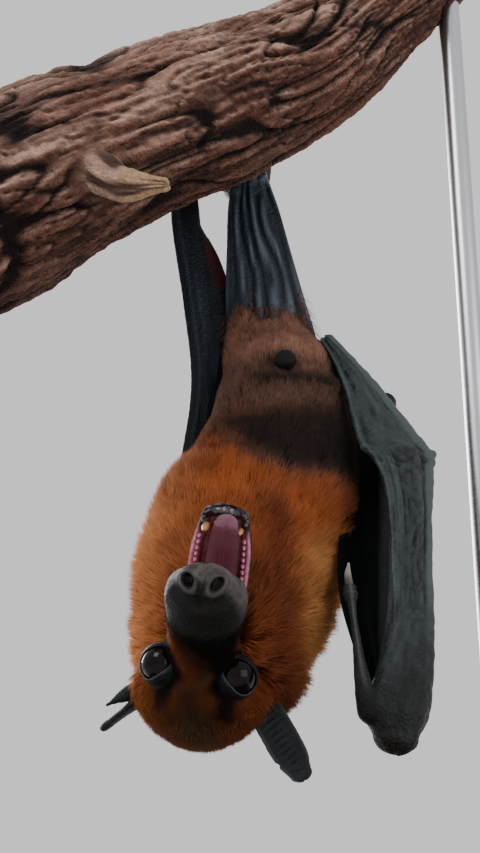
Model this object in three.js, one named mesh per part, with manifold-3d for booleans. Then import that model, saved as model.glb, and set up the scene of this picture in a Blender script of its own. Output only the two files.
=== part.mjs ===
// A Rodrigues fruit bat (Pteropus rodricensis) hanging head down from a cut
// length of branch that a plain stand holds. Life size, millimetres, +Z up.
// The origin is the centre of the base's underside, and the belly faces -Y.
// The body solids reach to the tips of the coat.

import * as THREE from "three";
import { mergeVertices } from "three/addons/utils/BufferGeometryUtils.js";
import Module from "manifold-3d";

const wasm = await Module();
wasm.setup();

// ---------------------------------------------------------------------------
// Driving dimensions
// ---------------------------------------------------------------------------

const GAP = 0.35; // clearance left between neighbouring solids

const BASE = { width: 250, depth: 176, height: 14, corner: 16, bevel: 1.5 };
const ROD = { radius: 4, flangeRadius: 13, flangeHeight: 4 };
const ROD_LEFT = { x: -84, y: -38, top: 232 };
const ROD_RIGHT = { x: 79, y: 8, top: 382 };

// The branch's centre line, with its radius at each point.
const BRANCH = {
  path: [
    [-97, -41, 236],
    [-76.4, -35, 251.5],
    [-46, -26, 275],
    [-14, -14, 297.5],
    [2, -9, 310],
    [21.6, -4, 324],
    [40.7, 1, 343],
    [60.6, 5, 366.5],
    [79, 8, 394],
  ],
  radius: [34.8, 33.2, 30.2, 28.8, 28, 25.8, 23.8, 22, 21],
};
const STUB = { path: [[-44, -50, 252], [-35.5, -57, 243.5], [-22, -62.5, 240]], radius: [8, 6.2, 2.6] };

// The head's own frame: an origin between the eyes, the way the muzzle points,
// the way the crown points, and the bat's left.
const HEAD = {
  origin: new THREE.Vector3(-11.1, -46, 101.8),
  left: new THREE.Vector3(0.981, -0.06, -0.17).normalize(),
  muzzle: new THREE.Vector3(0.02, -0.9, 0.44).normalize(),
};
HEAD.crown = HEAD.left.clone().cross(HEAD.muzzle).normalize();
HEAD.left = HEAD.muzzle.clone().cross(HEAD.crown).normalize();

const EYE = { radius: 5.2, apart: 20.4, back: 2.4, up: 0.2 };
const JAW = { hinge: [-9, -15], chin: [20.5, -39.5] };
const CLAWS_PER_FOOT = 5;
const SIDES = { body: 18, limb: 8, small: 5, branch: 20 };

// Life colours, with roughness.
const LOOK = {
  base: { color: 0x3b2a20, roughness: 0.5, metalness: 0 },
  rod: { color: 0xb9bcc0, roughness: 0.32, metalness: 1 },
  bark: { color: 0x6d5e59, roughness: 0.95, metalness: 0 },
  coat: { color: 0x7a3c1a, roughness: 0.9, metalness: 0 },
  ruff: { color: 0x8f4c22, roughness: 0.9, metalness: 0 },
  face: { color: 0x4a2412, roughness: 0.9, metalness: 0 },
  skin: { color: 0x2a2f33, roughness: 0.6, metalness: 0 },
  membrane: { color: 0x394148, roughness: 0.6, metalness: 0 },
  eye: { color: 0x1b1112, roughness: 0.08, metalness: 0 },
  tongue: { color: 0x8a3b4a, roughness: 0.4, metalness: 0 },
  claw: { color: 0x3a322c, roughness: 0.4, metalness: 0 },
};

// ---------------------------------------------------------------------------
// Shape helpers
// ---------------------------------------------------------------------------

const vector = (point) => new THREE.Vector3(...point);

// A point of the head from distances along the muzzle, the crown and the left.
function headPoint(ahead, up, left = 0) {
  return HEAD.origin
    .clone()
    .addScaledVector(HEAD.muzzle, ahead)
    .addScaledVector(HEAD.crown, up)
    .addScaledVector(HEAD.left, left);
}

function toGeometry(manifold) {
  const mesh = manifold.getMesh();
  const geometry = new THREE.BufferGeometry();
  geometry.setAttribute("position", new THREE.BufferAttribute(new Float32Array(mesh.vertProperties), 3));
  geometry.setIndex(new THREE.BufferAttribute(new Uint32Array(mesh.triVerts), 1));
  geometry.computeVertexNormals();
  return geometry;
}

function toManifold(geometry) {
  const bare = geometry.clone();
  bare.deleteAttribute("normal");
  bare.deleteAttribute("uv");
  const merged = mergeVertices(bare, 1e-4);
  return new wasm.Manifold(
    new wasm.Mesh({
      numProp: 3,
      vertProperties: new Float32Array(merged.attributes.position.array),
      triVerts: new Uint32Array(merged.index.array),
    }),
  );
}

// A smooth value through a row of numbers, at t from 0 to 1.
function along(values, t) {
  const place = t * (values.length - 1);
  const index = Math.min(Math.floor(place), values.length - 2);
  const f = place - index;
  const p0 = values[Math.max(index - 1, 0)];
  const p1 = values[index];
  const p2 = values[index + 1];
  const p3 = values[Math.min(index + 2, values.length - 1)];
  const slope1 = (p2 - p0) / 2;
  const slope2 = (p3 - p1) / 2;
  const rise = p2 - p1;
  return p1 + f * (slope1 + f * (3 * rise - 2 * slope1 - slope2 + f * (slope1 + slope2 - 2 * rise)));
}

// A closed body through rings of equal count, each end closed by a point.
function skinRings(rings, first, last) {
  const sides = rings[0].length;
  const points = [first, ...rings.flat(), last];
  const faces = [];
  for (let s = 0; s < sides; s += 1) {
    const next = (s + 1) % sides;
    faces.push(0, 1 + next, 1 + s);
    for (let r = 0; r + 1 < rings.length; r += 1) {
      const a = 1 + r * sides + s;
      const b = 1 + r * sides + next;
      faces.push(a, b, a + sides, b, b + sides, a + sides);
    }
    const top = 1 + (rings.length - 1) * sides;
    faces.push(points.length - 1, top + s, top + next);
  }
  const geometry = new THREE.BufferGeometry();
  geometry.setFromPoints(points);
  geometry.setIndex(faces);
  return geometry;
}

// A limb-like body: a smooth path with half sizes across it and in depth, and
// domed ends. facing is roughly the way its depth points, power 2 gives an
// ellipse and more a squarer section, and bulge scales each point's reach.
function limb(spec, grow = 0) {
  const { path, facing = [0, -1, 0], steps = 10, sides = SIDES.limb, power = 2 } = spec;
  const { startDome = 3, endDome = 3, domeRings = 3, bulge = () => 1 } = spec;
  const curve = new THREE.CatmullRomCurve3(path.map(vector), false, "centripetal");
  const deepest = spec.depth ?? spec.width;
  const ringAt = (t, shift, scale) => {
    const tangent = curve.getTangent(t);
    const across = vector(facing).cross(tangent).normalize();
    const deep = tangent.clone().cross(across).normalize();
    const centre = curve.getPoint(t).addScaledVector(tangent, shift);
    const halfWidth = (along(spec.width, t) + grow) * scale;
    const halfDepth = (along(deepest, t) + grow) * scale;
    return Array.from({ length: sides }, (_, s) => {
      const angle = (2 * Math.PI * s) / sides;
      const reach = bulge(angle, t);
      const x = Math.sign(Math.cos(angle)) * Math.abs(Math.cos(angle)) ** (2 / power);
      const y = Math.sign(Math.sin(angle)) * Math.abs(Math.sin(angle)) ** (2 / power);
      return centre
        .clone()
        .addScaledVector(across, x * halfWidth * reach)
        .addScaledVector(deep, y * halfDepth * reach);
    });
  };
  const rings = [];
  for (let d = domeRings - 1; d > 0; d -= 1) {
    const angle = (d / domeRings) * (Math.PI / 2);
    rings.push(ringAt(0, -(startDome + grow) * Math.sin(angle), Math.cos(angle)));
  }
  for (let i = 0; i <= steps; i += 1) rings.push(ringAt(i / steps, 0, 1));
  for (let d = 1; d < domeRings; d += 1) {
    const angle = (d / domeRings) * (Math.PI / 2);
    rings.push(ringAt(1, (endDome + grow) * Math.sin(angle), Math.cos(angle)));
  }
  const first = curve.getPoint(0).addScaledVector(curve.getTangent(0), -(startDome + grow));
  const last = curve.getPoint(1).addScaledVector(curve.getTangent(1), endDome + grow);
  return toManifold(skinRings(rings, first, last));
}

function ball(centre, radius, grow = 0, detail = 12) {
  const geometry = new THREE.SphereGeometry(radius + grow, detail, Math.round(detail * 0.66));
  geometry.translate(centre.x, centre.y, centre.z);
  return toManifold(geometry);
}

const list = (point) => [point.x, point.y, point.z];
const mirrored = (side) => (side === "left" ? 1 : -1);

// ---------------------------------------------------------------------------
// The stand and the branch
// ---------------------------------------------------------------------------

function standBase(grow) {
  const halfWidth = BASE.width / 2 - BASE.bevel + grow;
  const halfDepth = BASE.depth / 2 - BASE.bevel + grow;
  const corner = BASE.corner;
  const outline = new THREE.Shape();
  outline.moveTo(-halfWidth + corner, -halfDepth);
  outline.lineTo(halfWidth - corner, -halfDepth);
  outline.absarc(halfWidth - corner, -halfDepth + corner, corner, -Math.PI / 2, 0);
  outline.absarc(halfWidth - corner, halfDepth - corner, corner, 0, Math.PI / 2);
  outline.absarc(-halfWidth + corner, halfDepth - corner, corner, Math.PI / 2, Math.PI);
  outline.absarc(-halfWidth + corner, -halfDepth + corner, corner, Math.PI, 1.5 * Math.PI);
  const slab = new THREE.ExtrudeGeometry(outline, {
    depth: BASE.height - 2 * BASE.bevel + grow,
    bevelThickness: BASE.bevel,
    bevelSize: BASE.bevel,
    bevelSegments: 1,
    curveSegments: 4,
  });
  slab.translate(0, 0, BASE.bevel);
  return toManifold(slab);
}

// A round rod with a foot flange, from just above the base into the branch.
function standRod(rod, grow) {
  const foot = BASE.height + GAP - grow;
  const flange = ROD.flangeRadius + grow;
  const shoulder = BASE.height + GAP + ROD.flangeHeight + grow;
  const profile = [
    [0, foot],
    [flange, foot],
    [flange, shoulder - 1],
    [flange - 1, shoulder],
    [ROD.radius + 1.5 + grow, shoulder],
    [ROD.radius + grow, shoulder + 1.5],
    [ROD.radius + grow, rod.top + grow],
    [0, rod.top + grow],
  ].map(([radius, height]) => new THREE.Vector2(radius, height));
  const turned = new THREE.LatheGeometry(profile, 14);
  turned.rotateX(Math.PI / 2);
  turned.translate(rod.x, rod.y, 0);
  return toManifold(turned);
}

function branch(grow) {
  const log = limb(
    {
      path: BRANCH.path,
      width: BRANCH.radius,
      steps: 11,
      sides: SIDES.branch,
      startDome: 0.6,
      endDome: 0.6,
      domeRings: 1,
      bulge: (angle, t) => 1 + 0.022 * Math.sin(3 * angle + 5 * t) + 0.014 * Math.sin(7 * angle - 9 * t),
    },
    grow,
  );
  const stub = limb({ path: STUB.path, width: STUB.radius, steps: 5, sides: 9, endDome: 1.5 }, grow);
  return log.add(stub);
}

// ---------------------------------------------------------------------------
// Head and neck
// ---------------------------------------------------------------------------

function eye(side, grow) {
  const centre = headPoint(-EYE.back, EYE.up, (mirrored(side) * EYE.apart) / 2);
  return ball(centre, EYE.radius, grow);
}

// The upper head, from the back of the skull to the nose pad.
function head(grow) {
  const stations = [
    [-24, -3.5, 16, 14.5],
    [-17, -2, 19.4, 15.8],
    [-11, -2.4, 19.8, 15.2],
    [-6, -3.4, 17, 13.6],
    [-1, -4.6, 12.6, 11.4],
    [4, -6.2, 10.2, 10.2],
    [9, -7.8, 10.4, 9.8],
    [15, -9, 11.3, 9.2],
    [20.5, -9.4, 10.4, 8.2],
    [24.8, -9.2, 7.6, 5.8],
  ];
  return limb(
    {
      path: stations.map(([ahead, up]) => list(headPoint(ahead, up))),
      width: stations.map((station) => station[2]),
      depth: stations.map((station) => station[3]),
      facing: list(HEAD.crown),
      steps: 12,
      sides: SIDES.body,
      startDome: 8,
      endDome: 1.6,
      domeRings: 2,
    },
    grow,
  );
}

// The jaw's own frame: a length along it from the hinge, and a height towards
// the upper jaw.
function jawPoint(length, height, left = 0) {
  const [ahead, up] = JAW.hinge;
  const run = Math.hypot(JAW.chin[0] - ahead, JAW.chin[1] - up);
  const alongAhead = (JAW.chin[0] - ahead) / run;
  const alongUp = (JAW.chin[1] - up) / run;
  return headPoint(
    ahead + alongAhead * length - alongUp * height,
    up + alongUp * length + alongAhead * height,
    left,
  );
}

const JAW_LENGTH = Math.hypot(JAW.chin[0] - JAW.hinge[0], JAW.chin[1] - JAW.hinge[1]);
const jawInner = () => jawPoint(0, 1).sub(jawPoint(0, 0));

// The gaping lower jaw: a trough with a rim of teeth and two canines.
function lowerJaw(grow) {
  const body = limb(
    {
      path: [0, 0.35, 0.7, 0.95].map((part) => list(jawPoint(part * JAW_LENGTH, 0))),
      width: [10.6, 10.4, 9.4, 6.6],
      depth: [7, 6, 5, 3.6],
      facing: list(jawInner()),
      steps: 5,
      sides: 12,
      power: 2.3,
      domeRings: 2,
      startDome: 3,
      endDome: 2.6,
    },
    grow,
  );
  const trough = limb(
    {
      path: [0.1, 0.5, 0.84].map((part) => list(jawPoint(part * JAW_LENGTH, 6.4))),
      width: [8, 7.2, 5],
      depth: [6.4, 5.6, 4.4],
      facing: list(jawInner()),
      steps: 3,
      sides: 8,
      startDome: 2,
      endDome: 2,
      domeRings: 2,
    },
    -grow,
  );
  const canines = [-1, 1].map((hand) =>
    limb(
      {
        path: [
          list(jawPoint(JAW_LENGTH * 0.86, 2, hand * 5)),
          list(jawPoint(JAW_LENGTH * 0.86, 4.5, hand * 5.2)),
          list(jawPoint(JAW_LENGTH * 0.84, 6.6, hand * 5.4)),
        ],
        width: [1.3, 1.1, 0.4],
        facing: list(HEAD.left),
        steps: 2,
        sides: 5,
        startDome: 0.5,
        endDome: 0.5,
        domeRings: 1,
      },
      grow,
    ),
  );
  return canines.reduce((solid, tooth) => solid.add(tooth), body.subtract(trough));
}

function tongue(grow) {
  return limb(
    {
      path: [0.3, 0.58, 0.86].map((part, i) => list(jawPoint(part * JAW_LENGTH, [4, 4, 4.2][i]))),
      width: [5.6, 6, 4.4],
      depth: [2.6, 2.3, 1.6],
      facing: list(jawInner()),
      steps: 5,
      sides: 10,
      endDome: 1.8,
      domeRings: 2,
    },
    grow,
  );
}

// The left ear is a blunt leaf that faces the front. The right one is turned
// edge on: its leaf and the lobe of its front margin stand apart.
const EAR = {
  left: {
    path: [[4.6, -27, 96.5], [9.3, -28, 88], [14.3, -29.5, 79], [16.8, -30.2, 74.6]],
    width: [4.4, 5, 4.8, 3.2],
    depth: [3, 1.7, 1.2, 0.9],
    facing: [0.25, -1, -0.15],
  },
  right: {
    path: [[-27, -24, 97], [-30.5, -25, 93.7], [-34.6, -25.5, 90.4], [-37.6, -26, 88]],
    width: [4, 4.4, 4, 2.6],
    depth: [2.6, 1.6, 1.2, 1.3],
    facing: [-0.6, 0, 0.8],
  },
  lobe: {
    path: [[-28, -25, 98], [-32.2, -26.5, 96.6], [-37.2, -28, 93.6]],
    width: [3.4, 2.8, 0.8],
    depth: [3.4, 2.2, 0.5],
    facing: [-0.5, 0, 0.85],
  },
};

function ear(side, grow) {
  const leaf = limb({ ...EAR[side], steps: 5, endDome: 2, domeRings: 2 }, grow);
  if (side === "left") return leaf;
  return leaf.add(limb({ ...EAR.lobe, steps: 4, endDome: 0.6, domeRings: 2 }, grow));
}

function neck(grow) {
  return limb(
    {
      path: [[-4, -23, 100], [-4.8, -19, 111], [-3, -13, 126], [0.6, -6, 143]],
      width: [24, 29.4, 32.6, 34.4],
      depth: [18, 21, 24, 25.5],
      facing: [0, -1, 0],
      steps: 6,
      sides: SIDES.body,
      startDome: 13,
      endDome: 4,
      domeRings: 2,
    },
    grow,
  );
}

// ---------------------------------------------------------------------------
// Trunk, legs and feet
// ---------------------------------------------------------------------------

function trunk(grow) {
  return limb(
    {
      path: [[1, -6, 140], [4, -3, 151], [8.5, 0, 163], [12, 1, 179], [13, 3, 197], [12, 5, 210], [11, 6, 219]],
      width: [34.4, 34, 31, 26.4, 22, 18.6, 15],
      depth: [25, 26, 25.5, 23, 20.5, 17.5, 12],
      facing: [0, -1, 0],
      steps: 9,
      sides: SIDES.body,
      startDome: 8,
      endDome: 6,
      domeRings: 2,
    },
    grow,
  );
}

function groinBump(grow) {
  return ball(new THREE.Vector3(14.4, -14.6, 203.2), 3.9, grow, 8);
}

const LEG = {
  left: { hip: [21, 2, 204], knee: [14.5, 7, 231], ankle: [6.6, 10, 279] },
  right: { hip: [4, 2, 204], knee: [0.2, 7, 232], ankle: [-1.6, 9.5, 279] },
};

function thigh(side, grow) {
  const { hip, knee } = LEG[side];
  const middle = hip.map((value, i) => (value + knee[i]) / 2);
  return limb({ path: [hip, middle, knee], width: [10.5, 8.6, 5.6], steps: 3, sides: 10, startDome: 4, endDome: 4, domeRings: 2 }, grow);
}

function shin(side, grow) {
  const { knee, ankle } = LEG[side];
  const middle = knee.map((value, i) => (value + ankle[i]) / 2 + (i === 1 ? 1 : 0));
  return limb({ path: [knee, middle, ankle], width: [4.4, 3.6, 3.2], steps: 4, sides: 8, domeRings: 2 }, grow);
}

// A place round the branch, where the leg's foot grips it.
function gripPoint(side, degrees, lift, sideways = 0) {
  const centre = side === "left" ? [7.5, -7.2, 313.5] : [-2.5, -10.6, 306.5];
  const radius = 29 + lift;
  const angle = THREE.MathUtils.degToRad(degrees);
  return [
    centre[0] + sideways,
    centre[1] + radius * Math.cos(angle),
    centre[2] + radius * Math.sin(angle) + sideways * 0.75,
  ];
}

// The foot lies up the back of the branch, with five long hooked claws.
function foot(side, grow) {
  const sole = limb(
    {
      path: [LEG[side].ankle, gripPoint(side, -42, 4.6), gripPoint(side, -22, 4.2), gripPoint(side, -4, 3.8)],
      width: [3.4, 4, 4.4, 4.4],
      depth: [3.2, 3, 2.6, 2.2],
      facing: [0.15, 1, 0],
      steps: 4,
      sides: SIDES.limb,
      domeRings: 2,
    },
    grow,
  );
  const claws = Array.from({ length: CLAWS_PER_FOOT }, (_, i) => {
    const offset = (i - (CLAWS_PER_FOOT - 1) / 2) * 1.9;
    return limb(
      {
        path: [
          gripPoint(side, -6, 4, offset * 0.9),
          gripPoint(side, 8, 4.2, offset),
          gripPoint(side, 22, 2.6, offset),
        ],
        width: [1.5, 1.3, 0.6],
        facing: [1, 0, 0.1],
        steps: 2,
        sides: 4,
        startDome: 1,
        endDome: 0.5,
        domeRings: 1,
      },
      grow,
    );
  });
  return claws.reduce((solid, claw) => solid.add(claw), sole);
}

// ---------------------------------------------------------------------------
// Wings
// ---------------------------------------------------------------------------

const WING = {
  left: {
    shoulder: [26, 3, 148],
    elbow: [50, 16, 201.5],
    wrist: [41, -43, 88.5],
    hand: {
      path: [
        [41.6, -43.5, 83],
        [41.4, -43.3, 90],
        [43.8, -41.6, 97.5],
        [46.8, -36, 115],
        [48.8, -31, 133.5],
        [50.2, -26.2, 151],
        [50, -22, 163],
        [48.9, -19.4, 170.2],
        [45, -15.6, 178],
        [40.4, -9, 190.8],
        [35.2, -1.6, 206.2],
        [28.9, 3.5, 218.6],
      ],
      width: [6.6, 9.8, 8, 6.6, 6.4, 6.8, 8.1, 10.2, 8.8, 6.2, 3.6, 2.3],
      depth: [5.4, 6.6, 5.2, 4, 3.5, 3.4, 3.4, 3.4, 3.2, 3.1, 2.6, 2],
    },
    thumb: [[34.9, -46, 89.5], [32.8, -48, 97], [31.3, -50.5, 107], [30.2, -52, 116], [29.7, -52, 121.5]],
    claw: [[29.6, -52.2, 122], [29.2, -53.2, 125], [29.3, -55.2, 127.4]],
    facing: [0.2, -1, -0.2],
  },
  right: {
    shoulder: [-18, 5, 148],
    elbow: [-8.5, 34, 225],
    wrist: [-18, 14, 102],
    hand: {
      path: [
        [-20, 12.5, 98],
        [-21, 15, 105],
        [-22.5, 21, 123],
        [-21, 23, 150],
        [-15.5, 18, 178],
        [-11.5, 12.5, 207],
        [-14.8, 12, 238],
        [-19.4, 15, 270],
        [-20.5, 17, 287],
      ],
      width: [6.6, 7.4, 6.2, 5.8, 5.6, 5.6, 5.6, 5.6, 5],
      depth: [5, 5, 3.6, 3.2, 3, 2.6, 2.4, 2.2, 2],
    },
    thumb: [[-24, 10, 101], [-26.6, 9, 106], [-28, 10, 113], [-28.5, 11.6, 120], [-28.5, 13, 127]],
    claw: [[-28.5, 13.2, 127.5], [-28.8, 12.6, 131], [-28.8, 10.4, 133.6]],
    facing: [-0.2, 1, 0.2],
  },
};

function upperArm(side, grow) {
  const { shoulder, elbow } = WING[side];
  const middle = shoulder.map((value, i) => (value + elbow[i]) / 2);
  return limb({ path: [shoulder, middle, elbow], width: [9, 6.4, 3.6], steps: 4, domeRings: 2 }, grow);
}

function forearm(side, grow) {
  const { elbow, wrist } = WING[side];
  const middle = elbow.map((value, i) => (value + wrist[i]) / 2);
  return limb({ path: [elbow, middle, wrist], width: [3.7, 3.8, 4.4], steps: 4, domeRings: 2 }, grow);
}

// The folded fingers with the membrane packed between them.
function hand(side, grow) {
  const { hand: fan, facing } = WING[side];
  return limb(
    { path: fan.path, width: fan.width, depth: fan.depth, facing, steps: 13, power: 2.3, startDome: 5, endDome: 2.4, domeRings: 2 },
    grow,
  );
}

function thumb(side, grow) {
  return limb({ path: WING[side].thumb, width: [3.2, 2.5, 1.9, 1.9, 2.2], steps: 5, sides: 8, endDome: 1.6, domeRings: 2 }, grow);
}

function thumbClaw(side, grow) {
  return limb(
    {
      path: WING[side].claw,
      width: [1.4, 1.1, 0.5],
      facing: [1, 0, 0],
      steps: 3,
      sides: SIDES.small,
      startDome: 1,
      endDome: 0.6,
      domeRings: 2,
    },
    grow,
  );
}

function thinSheet(sheet, grow) {
  const depth = sheet.width.map(() => 0.7);
  return limb({ ...sheet, depth, steps: 6, sides: 6, power: 3, startDome: 1.5, endDome: 1.5, domeRings: 2 }, grow);
}

// The arm membrane: a thin sheet from the forearm to the flank.
function armMembrane(side, grow) {
  const sheet =
    side === "left"
      ? {
          path: [
            [37.5, -34, 99],
            [36.8, -26.5, 112],
            [36.4, -19, 126],
            [38.2, -11, 142],
            [40.6, -2, 160],
            [42.5, 3, 176],
            [40, 9, 196],
            [33, 10.5, 212],
            [25, 11, 222],
          ],
          width: [2, 6.5, 9.6, 10.4, 9, 7.8, 8.5, 7, 4],
          facing: [0.6, -0.8, 0.1],
        }
      : {
          path: [
            [-15, 21, 124],
            [-12.5, 24, 145],
            [-9, 24.5, 168],
            [-7, 24.5, 190],
            [-5, 23, 210],
            [-2, 18, 222],
          ],
          width: [3, 5, 6, 8, 10, 6],
          facing: [1, 0.35, 0],
        };
  return thinSheet(sheet, grow);
}

// The membrane from the folded right wing to the leg, seen from the front.
function sideMembrane(grow) {
  const sheet = {
    path: [[-17, 14.5, 268], [-12.5, 13, 254], [-9, 11.5, 240], [-7.5, 10.5, 226], [-9, 11, 210]],
    width: [3.6, 5.4, 5.8, 5, 4],
    facing: [0.1, -1, 0.1],
  };
  return thinSheet(sheet, grow);
}

// The leg membrane: a pleated curtain gathered behind both shins.
function legMembrane(grow) {
  const rows = [
    [279, 4.4, 9.2, 12.5],
    [266, 5.2, 10.2, 13],
    [252, 6.8, 11.8, 13.2],
    [238, 8.2, 13.4, 13.4],
    [224, 10, 15, 13],
  ];
  return limb(
    {
      path: rows.map(([z, x, , y]) => [x, y, z]),
      width: rows.map((row) => row[2]),
      depth: rows.map(() => 2.6),
      facing: [0, -1, 0],
      steps: 4,
      sides: 12,
      power: 4,
      startDome: 1,
      endDome: 1.5,
      domeRings: 2,
    },
    grow,
  );
}

// ---------------------------------------------------------------------------
// The scene: each piece gives way to the pieces before it in this list
// ---------------------------------------------------------------------------

const PIECES = [
  ["eye_left", LOOK.eye, (grow) => eye("left", grow)],
  ["eye_right", LOOK.eye, (grow) => eye("right", grow)],
  ["head", LOOK.face, head],
  ["tongue", LOOK.tongue, tongue],
  ["lower_jaw", LOOK.face, lowerJaw],
  ["ear_left", LOOK.skin, (grow) => ear("left", grow)],
  ["ear_right", LOOK.skin, (grow) => ear("right", grow)],
  ["forearm_left", LOOK.skin, (grow) => forearm("left", grow)],
  ["forearm_right", LOOK.skin, (grow) => forearm("right", grow)],
  ["hand_left", LOOK.membrane, (grow) => hand("left", grow)],
  ["hand_right", LOOK.membrane, (grow) => hand("right", grow)],
  ["thumb_left", LOOK.skin, (grow) => thumb("left", grow)],
  ["thumb_right", LOOK.skin, (grow) => thumb("right", grow)],
  ["thumb_claw_left", LOOK.claw, (grow) => thumbClaw("left", grow)],
  ["thumb_claw_right", LOOK.claw, (grow) => thumbClaw("right", grow)],
  ["trunk", LOOK.coat, trunk],
  ["groin_bump", LOOK.skin, groinBump],
  ["neck", LOOK.ruff, neck],
  ["upper_arm_left", LOOK.coat, (grow) => upperArm("left", grow)],
  ["upper_arm_right", LOOK.coat, (grow) => upperArm("right", grow)],
  ["thigh_left", LOOK.coat, (grow) => thigh("left", grow)],
  ["thigh_right", LOOK.coat, (grow) => thigh("right", grow)],
  ["shin_left", LOOK.skin, (grow) => shin("left", grow)],
  ["shin_right", LOOK.skin, (grow) => shin("right", grow)],
  ["branch", LOOK.bark, branch],
  ["foot_left", LOOK.skin, (grow) => foot("left", grow)],
  ["foot_right", LOOK.skin, (grow) => foot("right", grow)],
  ["leg_membrane", LOOK.membrane, legMembrane],
  ["arm_membrane_left", LOOK.membrane, (grow) => armMembrane("left", grow)],
  ["arm_membrane_right", LOOK.membrane, (grow) => armMembrane("right", grow)],
  ["side_membrane_right", LOOK.membrane, sideMembrane],
  ["stand_base", LOOK.base, standBase],
  ["stand_rod_left", LOOK.rod, (grow) => standRod(ROD_LEFT, grow)],
  ["stand_rod_right", LOOK.rod, (grow) => standRod(ROD_RIGHT, grow)],
];

function boxesMeet(a, b) {
  const first = a.boundingBox();
  const second = b.boundingBox();
  return [0, 1, 2].every((axis) => first.min[axis] <= second.max[axis] && second.min[axis] <= first.max[axis]);
}

// The largest single body of a solid that a cut may have split.
function largestBody(solid) {
  const bodies = solid.decompose();
  return bodies.reduce((best, body) => (body.volume() > best.volume() ? body : best));
}

const bat = new THREE.Group();
const before = [];
for (const [name, look, make] of PIECES) {
  let solid = make(0);
  for (const grown of before) {
    if (boxesMeet(solid, grown)) solid = solid.subtract(grown);
  }
  const mesh = new THREE.Mesh(toGeometry(largestBody(solid)), new THREE.MeshStandardMaterial(look));
  mesh.name = name;
  bat.add(mesh);
  before.push(make(GAP));
}

export default bat;
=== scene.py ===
"""A Rodrigues fruit bat hanging from a cut branch on a plain stand, finished around its CAD frame."""

import itertools

import bpy
import numpy as np
from bpy.props import FloatProperty, FloatVectorProperty, IntProperty, PointerProperty
from bpy.types import Operator, Panel, PropertyGroup
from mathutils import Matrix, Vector


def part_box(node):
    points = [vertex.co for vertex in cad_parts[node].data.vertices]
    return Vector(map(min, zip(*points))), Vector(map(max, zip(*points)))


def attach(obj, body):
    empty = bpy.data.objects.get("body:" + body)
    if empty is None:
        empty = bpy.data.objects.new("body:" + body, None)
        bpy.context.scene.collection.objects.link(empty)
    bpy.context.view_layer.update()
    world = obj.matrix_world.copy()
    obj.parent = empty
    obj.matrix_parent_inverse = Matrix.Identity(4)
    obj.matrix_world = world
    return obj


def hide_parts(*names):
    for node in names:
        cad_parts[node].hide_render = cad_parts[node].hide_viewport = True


bl_info = {
    "name": "Fruit Bat on a Branch",
    "version": (1, 0, 0),
    "blender": (4, 5, 0),
    "location": "3D View > Sidebar > Fruit Bat",
    "description": "Builds the skin, coat, wings, branch and stand of a life-size fruit bat",
    "category": "Object",
}

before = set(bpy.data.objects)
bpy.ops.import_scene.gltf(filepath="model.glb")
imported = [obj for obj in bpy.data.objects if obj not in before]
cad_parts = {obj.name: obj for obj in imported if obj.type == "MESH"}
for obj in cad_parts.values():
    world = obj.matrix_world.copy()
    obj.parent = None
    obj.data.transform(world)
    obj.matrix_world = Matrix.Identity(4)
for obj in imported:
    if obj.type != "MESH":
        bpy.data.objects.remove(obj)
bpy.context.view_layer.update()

MM = 0.001  # shapes are worked out in millimetres and written to the meshes in metres
BODY = "root"
TAU = 2 * np.pi


# ---- Colour and noise ----


def linear(code):
    """Linear RGB of an sRGB hex code."""
    value = np.array([int(code[i : i + 2], 16) for i in (1, 3, 5)]) / 255
    return np.where(value <= 0.04045, value / 12.92, ((value + 0.055) / 1.055) ** 2.4)


def smooth(low, high, value):
    """0 below low, 1 above high, and a cubic ease between them."""
    part = np.clip((value - low) / (high - low), 0, 1)
    return part * part * (3 - 2 * part)


def bell(value, centre, width):
    """1 at the centre, falling off as a Gaussian of that width."""
    return np.exp(-(((value - centre) / width) ** 2))


def blend(first, second, weight):
    """The mix of two colours, or of two fields of colour, by a field of weights."""
    weight = np.asarray(weight)[..., None]
    return first * (1 - weight) + second * weight


NOISE_SIZE = 8192  # a power of two, so that a mask picks from the table
NOISE_TABLE = np.random.default_rng(11).random(NOISE_SIZE) * 2 - 1
CELL_PRIMES = np.array([73856093, 19349663, 83492791])
SEED_PRIME = 9176351


def noise(points, seed=0, wrap=0):
    """Smooth noise from -1 to 1: the corner values of the unit cell, eased across it.

    wrap repeats the first axis after that many cells, for a pattern that closes round a limb."""
    axes = points.shape[-1]
    cell = np.floor(points).astype(np.int64)
    place = points - cell
    place = place * place * (3 - 2 * place)
    total = np.zeros(points.shape[:-1])
    for corner in itertools.product((0, 1), repeat=axes):
        at = cell + corner
        if wrap:
            at[..., 0] %= wrap
        mixed = (at * CELL_PRIMES[:axes]).sum(-1) + seed * SEED_PRIME
        mixed ^= mixed >> 13
        weight = np.prod(np.where(corner, place, 1 - place), axis=-1)
        total += weight * NOISE_TABLE[mixed & (NOISE_SIZE - 1)]
    return total


def layered(points, octaves, seed=0, wrap=0):
    """Noise summed over octaves, each twice as fine and half as strong."""
    total = np.zeros(points.shape[:-1])
    for octave in range(octaves):
        fine = 2**octave
        total += noise(points * fine, seed + octave, wrap * fine) / fine
    return total


# ---- Surfaces of two parameters ----


def norm(vectors):
    """The length of each vector."""
    return np.linalg.norm(vectors, axis=-1)


def unit(vectors):
    """Vectors scaled to length one."""
    return vectors / np.maximum(np.linalg.norm(vectors, axis=-1, keepdims=True), 1e-12)


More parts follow.
